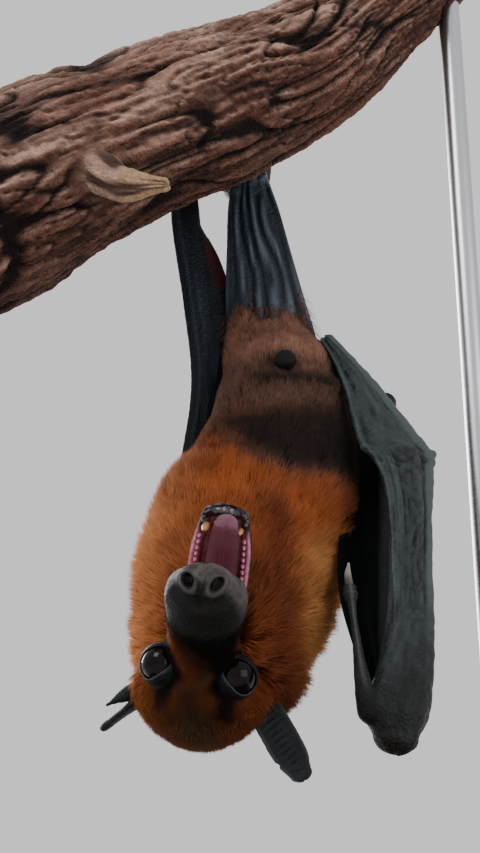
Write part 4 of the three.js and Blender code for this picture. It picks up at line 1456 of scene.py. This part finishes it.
def coat_rows(seed):
    """The rows of tufts of every coat piece, by name: bent tufts below, finer spikes among them."""
    rng = np.random.default_rng(seed)
    torso = skin_torso()
    height, front = torso.grid[..., 2], torso.y > 0
    plan = {
        "coat_face": [head_rows(SPIKE, 42000, rng, True), jaw_rows(1500, rng)],
        "coat_crown": [head_rows(TUFT, 8000, rng, False), head_rows(SPIKE, 26000, rng, False)],
    }
    others = ("head", "jaw", "thigh_left", "thigh_right", "hand_right", "leg_membrane")
    for name, mask in (
        ("coat_ruff", front & (height < 143)), ("coat_mantle", ~front & (height < 150)),
        ("coat_chest", front & (height >= 143) & (height < 172)),
        ("coat_belly", front & (height >= 172)), ("coat_back", ~front & (height >= 150)),
    ):
        plan[name] = [
            body_rows(TUFT, torso, torso_coat, 10500, rng, mask * 1.0, others),
            body_rows(SPIKE, torso, torso_coat, 22000, rng, mask * 1.0, others, width=0.26, stretch=1.7),
        ]
    plan["coat_limbs"] = []
    limbs = [(thigh(side), thigh_coat) for side in SIDES] + [(upper_arm(side), arm_coat) for side in SIDES]
    for number, (limb, coat) in enumerate(limbs):
        surface = skin_furred(limb, 26, 36, coat, 4 + number)
        tile = (number / 4, (number + 1) / 4)
        weight = smooth(0.2, 1.2, coat(surface.grid))
        for kind, most in ((TUFT, 2150), (SPIKE, 6000)):
            row = body_rows(kind, surface, coat, most, rng, weight, ("torso", "leg_membrane"), tile)
            plan["coat_limbs"].append(row)
    membrane = skin_leg_membrane()
    patch = membrane.speck(4, 113)
    strays = (membrane.y > 0.1) * smooth(0.7, 0.86, membrane.t + 0.12 * patch) ** 2
    row = body_rows(SPIKE, membrane, arm_coat, 1600, rng, strays, ("torso",), width=0.16, stretch=2.0)
    plan["coat_limbs"].append(row)
    return plan


# ---- Eyes, mouth and claws ----


def eye_surface(side):
    """A ball about the eye's axis with the cornea's bulge over the iris."""
    axis = eye_axis(side)
    path = [EYES[side] - axis * 0.01, EYES[side], EYES[side] + axis * 0.01]
    limb = Limb(path, [EYE_RADIUS] * 3, facing=CROWN)
    limb.start = limb.end = EYE_RADIUS
    surface = limb.surface(3, 64, dome=26)
    offset = unit(surface.grid - EYES[side])
    angle = np.degrees(np.arccos(np.clip(offset @ axis, -1, 1)))
    surface.grid = EYES[side] + offset * (EYE_RADIUS - 0.25 + 0.25 * smooth(62, 40, angle))[..., None]
    surface.first, surface.last = EYES[side] - axis * (EYE_RADIUS - 0.25), EYES[side] + axis * EYE_RADIUS
    around = np.cross(AHEAD, axis)
    spoke = np.arctan2(offset @ CROWN, offset @ around)
    streak = noise(np.stack([(spoke / TAU + 0.5) * 40, angle / 18], -1), seed=121)
    iris = blend(linear("#120a07"), linear("#080403"), np.clip(0.5 + streak, 0, 1))
    colour = blend(linear("#070505"), iris, smooth(23, 27, angle))
    return surface.paint(blend(colour, linear("#0a0707"), smooth(50, 58, angle)))


def tongue_surface():
    """The tongue: a flat limb with a groove along it and rows of fine bumps."""
    surface = TONGUE.surface(70, 60, dome=9)
    top = smooth(0, 0.4, surface.y)
    groove = -0.5 * bell(surface.x, 0, 0.12) * smooth(1.0, 0.8, surface.t)
    bumps = 0.09 * surface.speck(0.45, 131)
    surface.lift((groove + bumps) * top - 0.1)
    blotch = surface.speck(3, 132)[..., None]
    # painted light on the top of the tongue towards its tip
    tone = blend(TONGUE_PINK, linear("#6c4453"), smooth(0.72, 1.0, surface.t) * top)
    return surface.paint(tone * (1 + 0.25 * blotch))


def tooth(root, tip, radius, seed):
    """A tooth: a cone from root to tip, stained towards its root."""
    path = [root, root * 0.45 + tip * 0.55, tip]
    widths = [radius, radius * 0.78, radius * 0.22]
    surface = Limb(path, widths, facing=LEFT, start=0.3, end=radius * 0.25).surface(12, 14, dome=4)
    ivory, stain = (linear("#b37c4a"), linear("#7c4630")) if radius > 0.85 else (LIP_PINK * 0.7, GUM)
    wear = smooth(0.75, 0.1, surface.t) * (0.6 + 0.4 * surface.speck(0.8, seed))
    return surface.paint(blend(ivory, stain, np.clip(wear, 0, 1)))


def teeth_surfaces():
    """Canines, incisors and a row of small rounded cheek teeth along both jaws' inner edges."""
    teeth = []

    def lower(part, side, height, radius, rise):
        root = jaw_point(np.array([part * JAW_LENGTH]), np.array([rise]), side)[0]
        tip = jaw_point(np.array([part * JAW_LENGTH - 0.6]), np.array([rise + height]), side * 1.04)[0]
        teeth.append(tooth(root, tip, radius, len(teeth)))

    def upper(ahead, side, height, radius, rise):
        root = head_point(np.array([ahead]), np.array([rise]), side)[0]
        tip = head_point(np.array([ahead + 0.6]), np.array([rise - height]), side * 1.02)[0]
        teeth.append(tooth(root, tip, radius, len(teeth)))

    for hand in (-1, 1):
        lower(0.85, hand * 4.9, 3.8 - 0.7 * hand, 1.05 - 0.15 * hand, 2.0)
        upper(19.0, hand * 4.8, 3.2, 1.1, -13.4)
        for index in range(11):
            lower(0.78 - index * 0.045, hand * (6.3 + 0.1 * index), 1.0, 0.62, 2.5)
        for index in range(6):
            upper(15.6 - index * 3.1, hand * (6.6 + 0.1 * index), 1.3, 0.8, -14.4)
        for index in range(2):
            lower(0.89, hand * (0.9 + 1.5 * index), 0.9, 0.4, 2.0)
            upper(21.6, hand * (1.0 + 1.7 * index), 1.0, 0.5, -13.6)
    return teeth


def thumb_claw(side):
    """A hooked cone whose sides are pressed flat, with growth rings round it."""
    path = WING[side]["claw"]
    limb = Limb(path, [0.95, 0.75, 0.3], [1.2, 0.95, 0.35], facing=(1, 0, 0), start=1, end=0.4)
    surface = limb.surface(40, 18, dome=5)
    surface.lift(0.03 * np.sin(surface.t * 60))
    pale, dark = linear("#84807c"), linear("#2b2623")
    return surface.paint(blend(dark, pale, smooth(0.2, 0.8, surface.t)))


def foot_claws(side):
    """Long curved claws that continue the toes and hook over the branch."""
    claws = []
    for index in range(TOES):
        offset = toe_offset(index)
        path = grip_path(side, (7, 4.0, offset), (15, 3.9, offset), (22, 2.4, offset))
        limb = Limb(path, [0.95, 0.9, 0.3], [1.15, 1.1, 0.4], facing=(1, 0, 0.1), start=0.6, end=0.4)
        surface = limb.surface(22, 10, dome=3)
        claws.append(surface.paint(blend(linear("#37302b"), linear("#6d635a"), surface.t)))
    return claws


# ---- Branch and stand ----

BARK_PALE, BARK_MID, BARK_SHADE = linear("#b89684"), linear("#715246"), linear("#150d0b")
BARK_RED = linear("#6a3a2a")
WOOD_PALE, WOOD_RING = linear("#b99567"), linear("#8a6238")


def branch_surface():
    """A branch whose bark is split by fissures along it, with painted shade in the fissures and on its
    underside.

    A fissure is where noise in (angle, length), warped by slower noise, passes through zero; two
    finer sets lie between the first. The ends are sawn, with growth rings as steps in radius."""
    surface = BRANCH.surface(310, 276, dome=8)
    t = surface.t
    angle = np.broadcast_to(np.linspace(0, TAU, t.shape[1], endpoint=False), t.shape)
    bulge = 0.022 * np.sin(3 * angle + 5 * t) + 0.014 * np.sin(7 * angle - 9 * t)
    run = surface.run()
    turn = angle / TAU

    def field(cells, length, warp, seed):
        bend = warp * noise(np.stack([turn * 6, run / 34], -1), seed=seed + 7, wrap=6)
        return noise(np.stack([turn * cells + bend, run / length], -1), seed=seed, wrap=cells)

    deep = field(13, 70, 0.8, 141)
    second = field(33, 44, 1.1, 142)
    third = field(78, 20, 1.4, 143)
    fibre = field(140, 9, 1.2, 146)
    lumps = surface.speck(20, 144)
    grain = surface.speck(1.5, 145)
    torn = smooth(0.1, 0.6, lumps) * surface.speck(4, 147)
    fissure = smooth(0.12, 0.0, np.abs(deep))
    crack = smooth(0.12, 0.0, np.abs(second)) * smooth(-0.3, 0.3, lumps + 0.4)
    split = smooth(0.14, 0.0, np.abs(third))
    height = 26 * bulge + 1.0 * lumps + 1.4 * np.abs(deep) + 1.1 * np.abs(second) + 0.7 * third
    height += 0.5 * fibre + 0.3 * grain + 0.7 * torn
    height = height - 2.0 * fissure - 1.4 * crack - 0.7 * split - 2.4
    side = smooth(0.0, 0.01, t) * smooth(1.0, 0.99, t)
    surface.lift(height * side)
    mixed = 0.3 + 0.3 * lumps + 0.45 * np.abs(second) + 0.6 * fibre + 0.4 * grain + 0.3 * third
    colour = blend(BARK_MID, BARK_PALE, np.clip(mixed, 0, 1))
    # under marks the undersides for painted shade
    under = smooth(0.35, -0.55, surface.normals()[..., 2])
    patch = 0.45 * smooth(-0.1, 0.5, surface.speck(26, 148) + 0.3 * second)
    # undersides turn red and dark as painted shade; patch adds the bark's own red patches
    colour = blend(colour, BARK_RED * (1 + 0.6 * fibre[..., None]), np.maximum(0.75 * under, patch))
    # painted shade in the fissures, cracks, splits and low bark, and on the undersides
    dark = 0.9 * fissure + 0.8 * crack + 0.55 * split + 0.35 * smooth(0.0, -0.6, third) + 0.45 * under
    colour = blend(colour, BARK_SHADE, np.clip(dark, 0, 1))
    saw_reach = norm(surface.grid - surface.grid.mean(axis=1, keepdims=True))
    ring = 0.5 + 0.5 * np.sin(saw_reach * 2.1 + 0.8 * lumps)
    sawn = (t < -1e-5) | (t > 1 + 1e-5)
    colour = np.where(sawn[..., None], blend(WOOD_PALE, WOOD_RING, ring), colour)
    return surface.paint(colour, np.where(sawn, 1, 0))


def stub_surface():
    """The torn stub of a twig: long splinters of noise along it, and pale bare wood at its tip."""
    surface = STUB.surface(80, 60, dome=8)
    splinter = noise(np.stack([surface.t * 3, surface.x * 3 + surface.y * 3], -1), seed=151)
    grain = surface.speck(1.1, 152)
    surface.lift(0.7 * splinter + 0.2 * grain - 0.8)
    colour = blend(BARK_MID, BARK_PALE, np.clip(0.5 + 0.6 * splinter, 0, 1))
    colour = blend(colour, linear("#a68a66"), smooth(0.3, 0.8, surface.t) * smooth(-0.2, 0.5, splinter))
    # painted shade in the grooves between the splinters
    return surface.paint(blend(colour, BARK_SHADE, smooth(0.1, -0.6, splinter) * 0.7))


def plain_surface(grid, centre, low, high, tone):
    """Level rings of one colour about an upright axis, closed by a point on it at each end."""
    blank = np.zeros(grid.shape[:2])
    ends = np.append(centre, low), np.append(centre, high)
    return Surface(grid, *ends, blank[:, 0], blank, blank, 0 * grid[:, 0]).paint(tone)


def base_surface(low, high, corner, bevel):
    """A rounded slab: a rectangle with rounded corners, drawn in towards both faces by a rounded edge.

    Each ring is that outline inset by the edge's quarter circle, or shrunk towards the middle."""
    half = (high - low)[:2] / 2
    centre = (high + low) / 2
    quarter = TAU / 4
    arc = np.linspace(0, quarter, 12)
    corners = [(1, 1), (-1, 1), (-1, -1), (1, -1)]
    rows = []
    turn = np.linspace(0, quarter, 7)
    edge = [(bevel * (1 - np.sin(a)), bevel * (1 - np.cos(a))) for a in turn]
    top = high[2] - low[2]
    inset = [80, 60, 40, 20] + [a for a, b in edge] + [a for a, b in reversed(edge)] + [20, 40, 60, 80]
    height = [0] * 4 + [b for a, b in edge] + [top - b for a, b in reversed(edge)] + [top] * 4
    for shrink, z in zip(inset, height):
        outline = []
        for index, (sx, sy) in enumerate(corners):
            radius = max(corner - shrink, 0.5)
            middle = np.array([sx, sy]) * (half - max(shrink, 0) - radius)
            angle = arc + index * quarter
            outline.append(middle + radius * np.stack([np.cos(angle), np.sin(angle)], -1))
        outline = np.concatenate(outline)
        rows.append(np.concatenate([outline + centre[:2], np.full((len(outline), 1), low[2] + z)], axis=1))
    return plain_surface(np.array(rows), centre[:2], low[2], high[2], linear("#4a3122"))


def turned(centre, profile, around=56):
    """A profile of radius and height turned about an upright axis."""
    radius, height = np.array(profile, float).T
    angle = np.linspace(0, TAU, around, endpoint=False)
    ring = np.stack([np.cos(angle), np.sin(angle)], -1)
    flat = radius[:, None, None] * ring[None] + centre
    grid = np.concatenate([flat, np.broadcast_to(height[:, None, None], flat.shape[:2] + (1,))], axis=-1)
    return plain_surface(grid, centre, height[0], height[-1], 0.5)


def rod_surfaces(side):
    """A rod with its foot flange and three screws, from the CAD rod's box."""
    low, high = node_box(f"stand_rod_{side}")
    centre = (low + high)[:2] / 2
    flange, rod, foot, thick = (high - low)[0] / 2, 4.0, low[2], 4.0
    profile = [
        (flange * 0.5, foot),
        (flange - 0.4, foot),
        (flange, foot + 0.4),
        (flange, foot + thick - 0.9),
        (flange - 0.25, foot + thick - 0.3),
        (flange - 0.9, foot + thick),
        (rod + 2.0, foot + thick),
        (rod + 1.0, foot + thick + 0.3),
        (rod + 0.3, foot + thick + 0.9),
        (rod, foot + thick + 1.6),
        (rod, foot + thick + 2.2),
        (rod, high[2] - 0.5),
        (rod - 0.5, high[2]),
        (rod * 0.5, high[2]),
    ]
    surfaces = [turned(centre, profile)]
    for index in range(3):
        angle = TAU * index / 3 + 0.5
        spot = centre + 8.6 * np.array([np.cos(angle), np.sin(angle)])
        top = foot + thick
        head = [
            (1.2, top - 0.5), (1.9, top - 0.4), (1.9, top + 0.7), (1.6, top + 1.1), (0.95, top + 1.15),
            (0.9, top + 0.3), (0.3, top + 0.3),
        ]
        surfaces.append(turned(spot, head, 20))
    return surfaces


# ---- Materials ----


def add(tree, kind, settings=None, **inputs):
    """One node with its settings; each input takes a value or a link, by its name with _ for spaces."""
    node = tree.nodes.new("ShaderNode" + kind)
    for name, value in (settings or {}).items():
        setattr(node, name, value)
    for name, value in inputs.items():
        socket = node.inputs[name.replace("_", " ")]
        if isinstance(value, bpy.types.NodeSocket):
            tree.links.new(value, socket)
        else:
            socket.default_value = value
    return node


def new_material(name):
    """An empty material of nodes, with its tree."""
    material = bpy.data.materials.new(name)
    material.use_nodes = True
    material.node_tree.nodes.clear()
    return material, material.node_tree


def dress(tree, **inputs):
    """The surface shader with its inputs, joined to the material's output."""
    shader = add(tree, "BsdfPrincipled", **inputs)
    add(tree, "OutputMaterial", Surface=shader.outputs["BSDF"])
    return shader


def toned(tree, amount, coordinates, scale):
    """The surface's own colours, made lighter and darker by fine noise."""
    tone = add(tree, "Attribute", {"attribute_name": "tone"}).outputs["Color"]
    speck = add(tree, "TexNoise", Vector=coordinates, Scale=scale, Detail=3.0).outputs["Fac"]
    value = add(tree, "MapRange", Value=speck, To_Min=1 - amount, To_Max=1 + amount).outputs["Result"]
    return add(tree, "HueSaturation", Value=value, Color=tone).outputs["Color"]


def skin_material(name, per_metre, strength, distance, roughness, amount=0.25, specular=0.4):
    """A surface with its own tone, and bump from noise with that many cells in a metre."""
    material, tree = new_material(name)
    place = add(tree, "TexCoord").outputs["Object"]
    cells = add(tree, "TexVoronoi", Vector=place, Scale=per_metre).outputs["Distance"]
    fine = add(tree, "TexNoise", Vector=place, Scale=per_metre * 1.7, Detail=4.0).outputs["Fac"]
    height = add(tree, "Math", {"operation": "ADD"}).outputs[0]
    tree.links.new(cells, height.node.inputs[0])
    tree.links.new(fine, height.node.inputs[1])
    bump = add(tree, "Bump", Strength=strength, Distance=distance, Height=height)
    worn = add(tree, "MapRange", Value=fine, To_Min=roughness - 0.1, To_Max=roughness + 0.12)
    dress(
        tree,
        Base_Color=toned(tree, amount, place, per_metre * 0.4),
        Roughness=worn.outputs["Result"],
        Normal=bump.outputs["Normal"],
        Specular_IOR_Level=specular,
    )
    return material


def hide_material():
    """Hide under short hair: dull, with a fine nap. Hairs lie about 0.4 mm apart."""
    return skin_material("Short-haired hide", 2600, 0.7, 0.0003, 0.8, 0.35, 0.2)


def bare_material():
    """Bare leathery skin of nose, ears and thumbs: pebbled, with grains about 0.7 mm across."""
    return skin_material("Bare leathery skin", 1400, 0.55, 0.0004, 0.6, 0.3, 0.18)


def web_material():
    """Wing membrane: a thin elastic hide, satin, with fine crossing creases 1 mm apart."""
    return skin_material("Elastic wing membrane", 1000, 0.6, 0.0004, 0.44, 0.2, 0.2)


def shade_material():
    """The arm's inner membrane: thin, dark with painted shade, and matt, so the gap beside the body reads as
    black.
    """
    return skin_material("Thin inner membrane", 1000, 0.15, 0.0002, 0.85, 0.2, 0.05)


def lining_material():
    """Wet lining of the mouth: smooth and glossy over a soft, uneven ground."""
    return skin_material("Wet mouth lining", 900, 0.3, 0.0003, 0.28, 0.12, 0.6)


def fur_material():
    """Keratin hair in locks: dull satin. Its tone is darker at the roots and paler at the tips."""
    material, tree = new_material("Soft keratin fur")
    place = add(tree, "TexCoord").outputs["Object"]
    dress(
        tree,
        Base_Color=toned(tree, 0.18, place, 900.0),
        Roughness=0.7,
        Specular_IOR_Level=0.12,
    )
    return material


def glossy_material(name, roughness, coat, bump_scale=0.0, specular=0.5):
    """A wet or polished surface with its own tone under a clear coat."""
    material, tree = new_material(name)
    place = add(tree, "TexCoord").outputs["Object"]
    shader = dress(
        tree,
        Base_Color=toned(tree, 0.06, place, 700.0),
        Roughness=roughness,
        Coat_Weight=coat,
        Coat_Roughness=0.03,
        Specular_IOR_Level=specular,
    )
    if bump_scale:
        fine = add(tree, "TexNoise", Vector=place, Scale=bump_scale, Detail=3.0).outputs["Fac"]
        bump = add(tree, "Bump", Strength=0.3, Distance=0.0002, Height=fine)
        tree.links.new(bump.outputs["Normal"], shader.inputs["Normal"])
    return material


def bark_material():
    """Dry weathered bark: rough and matt, with grit about 1 mm across and lighter worn edges."""
    material, tree = new_material("Weathered bark")
    place = add(tree, "TexCoord").outputs["Object"]
    lie = Vector((1, 0, 0)).rotation_difference(Vector(BRANCH.path[-1]) - Vector(BRANCH.path[0])).to_euler()
    size = (0.006, 0.0009, 0.0009)
    stretch = add(tree, "Mapping", {"vector_type": "TEXTURE"}, Vector=place, Scale=size, Rotation=lie)
    fibre = add(tree, "TexNoise", Vector=stretch.outputs["Vector"], Scale=1.0, Detail=5.0).outputs["Fac"]
    grit = add(tree, "TexVoronoi", Vector=place, Scale=900.0).outputs["Distance"]
    height = add(tree, "Math", {"operation": "ADD"}).outputs[0]
    tree.links.new(fibre, height.node.inputs[0])
    tree.links.new(grit, height.node.inputs[1])
    bump = add(tree, "Bump", Strength=1.0, Distance=0.0012, Height=height)
    dress(
        tree,
        Base_Color=toned(tree, 0.4, place, 420.0),
        Roughness=0.92,
        Specular_IOR_Level=0.2,
        Normal=bump.outputs["Normal"],
    )
    return material


def sawn_material():
    """Sawn end grain: dry, pale and slightly fuzzy, with saw marks 1.2 mm apart."""
    return skin_material("Sawn end grain", 1800, 0.5, 0.0004, 0.8, 0.25, 0.2)


def walnut_material(colour_light, colour_dark):
    """Oiled walnut, planed and rubbed: long grain 2 to 5 mm wide under a satin film."""
    material, tree = new_material("Oiled walnut")
    place = add(tree, "TexCoord").outputs["Object"]
    drawn = add(tree, "Mapping", Vector=place, Scale=(14.0, 260.0, 60.0)).outputs["Vector"]
    warp = add(tree, "TexNoise", Vector=drawn, Scale=1.0, Detail=4.0, Distortion=0.6).outputs["Fac"]
    pores = add(tree, "Mapping", Vector=place, Scale=(90.0, 2200.0, 400.0)).outputs["Vector"]
    pore = add(tree, "TexNoise", Vector=pores, Scale=1.0, Detail=2.0).outputs["Fac"]
    grain = add(tree, "MixRGB", Fac=warp, Color1=(*colour_dark, 1), Color2=(*colour_light, 1))
    dark = add(tree, "MapRange", Value=pore, From_Min=0.3, From_Max=0.45, To_Min=0.55, To_Max=1.0)
    colour = add(tree, "HueSaturation", Value=dark.outputs["Result"], Color=grain.outputs["Color"])
    bump = add(tree, "Bump", Strength=0.15, Distance=0.0002, Height=pore)
    dress(
        tree,
        Base_Color=colour.outputs["Color"],
        Roughness=0.36,
        Coat_Weight=0.25,
        Coat_Roughness=0.25,
        Normal=bump.outputs["Normal"],
    )
    return material


def steel_material():
    """Stainless steel, turned and brushed: bright, with rings of fine scratches 0.3 mm apart."""
    material, tree = new_material("Brushed stainless steel")
    place = add(tree, "TexCoord").outputs["Object"]
    rings = add(tree, "Mapping", Vector=place, Scale=(60.0, 60.0, 3200.0)).outputs["Vector"]
    scratch = add(tree, "TexNoise", Vector=rings, Scale=1.0, Detail=3.0).outputs["Fac"]
    worn = add(tree, "MapRange", Value=scratch, To_Min=0.24, To_Max=0.42).outputs["Result"]
    bump = add(tree, "Bump", Strength=0.12, Distance=0.0001, Height=scratch)
    dress(
        tree,
        Base_Color=(*linear("#c4c6c8"), 1),
        Metallic=1.0,
        Roughness=worn,
        Normal=bump.outputs["Normal"],
    )
    return material


def studio_material(colour):
    """Matt painted studio floor."""
    material, tree = new_material("Matt studio paint")
    dress(tree, Base_Color=(*colour, 1), Roughness=0.9)
    return material


# ---- Settings, operators and panel ----


class CoatSettings(PropertyGroup):
    """What a user would change about the coat."""

    seed: IntProperty(name="Seed", description="Seed of the tufts' random places", default=2024, min=0)


class StandSettings(PropertyGroup):
    """The finish of the stand."""

    wood_light: FloatVectorProperty(
        name="Light grain", description="Pale grain of the base",
        subtype="COLOR", size=3, default=tuple(linear("#6b4930"))
    )
    wood_dark: FloatVectorProperty(
        name="Dark grain", description="Dark grain of the base",
        subtype="COLOR", size=3, default=tuple(linear("#2e1c12"))
    )


class StageSettings(PropertyGroup):
    """The camera, the floor and the light."""

    camera_place: FloatVectorProperty(
        name="Camera place",
        description="Where the camera stands",
        subtype="XYZ",
        unit="LENGTH",
        size=3,
        default=(0.0, -0.390, 0.045),
    )
    camera_tilt: FloatProperty(
        name="Camera tilt", description="How far the camera looks up",
        subtype="ANGLE", default=float(np.radians(20))
    )
    camera_lens: FloatProperty(name="Focal length", description="Lens in millimetres", default=53.6, min=1)
    floor_colour: FloatVectorProperty(
        name="Floor", description="Colour of the floor",
        subtype="COLOR", size=3, default=tuple(linear("#d9d7d4"))
    )
    sky_colour: FloatVectorProperty(
        name="Surround", description="Colour of the even light",
        subtype="COLOR", size=3, default=tuple(linear("#e6e4e8"))
    )
    sky_strength: FloatProperty(
        name="Surround strength", description="Brightness of the even light", default=1.1, min=0
    )


class BAT_OT_build_skin(Operator):
    """Build the one skin of head, trunk, limbs and wings"""

    bl_idname = "bat.build_skin"
    bl_label = "Skin"

    def execute(self, context):
        materials = [hide_material(), bare_material(), web_material(), lining_material(), shade_material()]
        lids = [lid_part(side, materials) for side in SIDES]
        skin = unite("bat_skin", skin_surfaces(), materials, lids)
        bodies = ["head", "lower_jaw", "neck", "trunk", "groin_bump", "leg_membrane", "side_membrane_right"]
        for side in SIDES:
            bodies += [
                f"{part}_{side}"
                for part in (
                    "ear", "forearm", "hand", "thumb", "upper_arm", "thigh", "shin", "foot", "arm_membrane"
                )
            ]
        finish(skin, "bare_skin", *bodies)
        return {"FINISHED"}


class BAT_OT_build_coat(Operator):
    """Lay the coat over the skin in tufts"""

    bl_idname = "bat.build_coat"
    bl_label = "Coat"

    def execute(self, context):
        fur = fur_material()
        for name, rows in coat_rows(context.scene.bat_coat.seed).items():
            finish(add_coat(name, rows, fur), "coat")
        return {"FINISHED"}


class BAT_OT_build_eyes(Operator):
    """Build both eyes"""

    bl_idname = "bat.build_eyes"
    bl_label = "Eyes"

    def execute(self, context):
        # The cornea is wet and mirror smooth over a dark iris.
        wet = glossy_material("Wet cornea over dark iris", 0.06, 0.0, specular=0.14)
        for side in SIDES:
            finish(join_surfaces(f"eyeball_{side}", [eye_surface(side)], [wet]), "eye", f"eye_{side}")
        return {"FINISHED"}


class BAT_OT_build_mouth(Operator):
    """Build the tongue and the teeth"""

    bl_idname = "bat.build_mouth"
    bl_label = "Mouth"

    def execute(self, context):
        # The tongue is wet muscle under a rough skin, and enamel is smooth and slightly glassy.
        wet = glossy_material("Wet tongue", 0.5, 0.03, 2200.0, specular=0.3)
        enamel = glossy_material("Stained tooth enamel", 0.35, 0.1)
        finish(join_surfaces("tongue_wet", [tongue_surface()], [wet]), "mouth", "tongue")
        finish(join_surfaces("teeth", teeth_surfaces(), [enamel]), "claw")
        return {"FINISHED"}


class BAT_OT_build_claws(Operator):
    """Build the claws of thumbs and feet"""

    bl_idname = "bat.build_claws"
    bl_label = "Claws"

    def execute(self, context):
        # Claw horn is grown in layers, hard and slightly shiny.
        horn = glossy_material("Layered claw horn", 0.4, 0.15, 1800.0)
        for side in SIDES:
            claw = join_surfaces(f"claw_thumb_{side}", [thumb_claw(side)], [horn])
            finish(claw, "claw", f"thumb_claw_{side}")
            finish(join_surfaces(f"claws_foot_{side}", foot_claws(side), [horn]), "claw")
        return {"FINISHED"}


class BAT_OT_build_branch(Operator):
    """Build the cut branch with its torn stub"""

    bl_idname = "bat.build_branch"
    bl_label = "Branch"

    def execute(self, context):
        materials = [bark_material(), sawn_material()]
        branch = unite("branch_bark", [branch_surface(), stub_surface()], materials)
        finish(branch, "bark", "branch")
        return {"FINISHED"}


class BAT_OT_build_stand(Operator):
    """Build the display stand: a wooden base and two steel rods"""

    bl_idname = "bat.build_stand"
    bl_label = "Stand"

    def execute(self, context):
        settings = context.scene.bat_stand
        walnut = walnut_material(settings.wood_light, settings.wood_dark)
        low, high = node_box("stand_base")
        base = join_surfaces("stand_base_wood", [base_surface(low, high, 16.0, 1.6)], [walnut])
        finish(base, "stand_wood", "stand_base")
        steel = steel_material()
        for side in SIDES:
            rod = join_surfaces(f"stand_rod_{side}_steel", rod_surfaces(side), [steel])
            rod.data.set_sharp_from_angle(angle=float(np.radians(40)))
            finish(rod, "stand_steel", f"stand_rod_{side}")
        return {"FINISHED"}


class BAT_OT_build_stage(Operator):
    """Set the camera, the floor and soft light"""

    bl_idname = "bat.build_stage"
    bl_label = "Stage"

    def execute(self, context):
        settings = context.scene.bat_stage
        camera = bpy.data.objects.new("camera", bpy.data.cameras.new("camera"))
        camera.location = settings.camera_place
        camera.rotation_euler = (float(np.radians(90)) + settings.camera_tilt, 0, 0)
        camera.data.lens = settings.camera_lens
        camera.data.sensor_width = 36
        camera.data.clip_start = 0.01
        context.scene.collection.objects.link(camera)
        context.scene.camera = camera
        half, drop = 4000.0, 0.2
        corners = np.array(
            [[-half, -half, -drop], [half, -half, -drop], [half, half, -drop], [-half, half, -drop]]
        )
        paint = studio_material(settings.floor_colour)
        floor = add_mesh("floor", corners, np.array([[0, 1, 2, 3]]), materials=[paint])
        world = bpy.data.worlds.new("studio")
        world.use_nodes = True
        ground = world.node_tree.nodes["Background"]
        ground.inputs["Color"].default_value = (*settings.sky_colour, 1)
        ground.inputs["Strength"].default_value = settings.sky_strength
        context.scene.world = world
        for name, place, aim, width, power in (
            ("key", (-0.5, -0.6, 0.85), (0, 0, 0.18), 0.4, 4.5),
            ("fill", (0.75, -0.7, 0.25), (0, 0, 0.15), 0.7, 4.4),
            ("rim", (-0.4, 0.7, 0.5), (0, 0, 0.15), 0.5, 9.0),
        ):
            lamp = bpy.data.lights.new(name, "AREA")
            lamp.size = width
            lamp.energy = power
            holder = bpy.data.objects.new(name, lamp)
            holder.location = place
            direction = np.array(aim) - np.array(place)
            holder.rotation_euler = Vector(direction).to_track_quat("-Z", "Y").to_euler()
            context.scene.collection.objects.link(holder)
        return {"FINISHED"}


OPERATORS = (
    BAT_OT_build_stage,
    BAT_OT_build_skin,
    BAT_OT_build_eyes,
    BAT_OT_build_mouth,
    BAT_OT_build_claws,
    BAT_OT_build_coat,
    BAT_OT_build_branch,
    BAT_OT_build_stand,
)


class BAT_PT_panel(Panel):
    """Builds the bat's pieces one by one"""

    bl_label = "Fruit Bat"
    bl_idname = "BAT_PT_panel"
    bl_space_type = "VIEW_3D"
    bl_region_type = "UI"
    bl_category = "Fruit Bat"

    def draw(self, context):
        for operator in OPERATORS:
            self.layout.operator(operator.bl_idname)
        for group in ("bat_coat", "bat_stand", "bat_stage"):
            settings = getattr(context.scene, group)
            box = self.layout.box()
            for name in settings.__annotations__:
                box.prop(settings, name)


GROUPS = {"bat_coat": CoatSettings, "bat_stand": StandSettings, "bat_stage": StageSettings}


def register():
    for kind in (*GROUPS.values(), *OPERATORS, BAT_PT_panel):
        bpy.utils.register_class(kind)
    for name, kind in GROUPS.items():
        setattr(bpy.types.Scene, name, PointerProperty(type=kind))


def unregister():
    for name in GROUPS:
        delattr(bpy.types.Scene, name)
    for kind in reversed((*GROUPS.values(), *OPERATORS, BAT_PT_panel)):
        bpy.utils.unregister_class(kind)


def main():
    register()
    for operator in OPERATORS:
        getattr(bpy.ops.bat, operator.bl_idname.split(".")[1])()


if __name__ == "__main__":
    main()
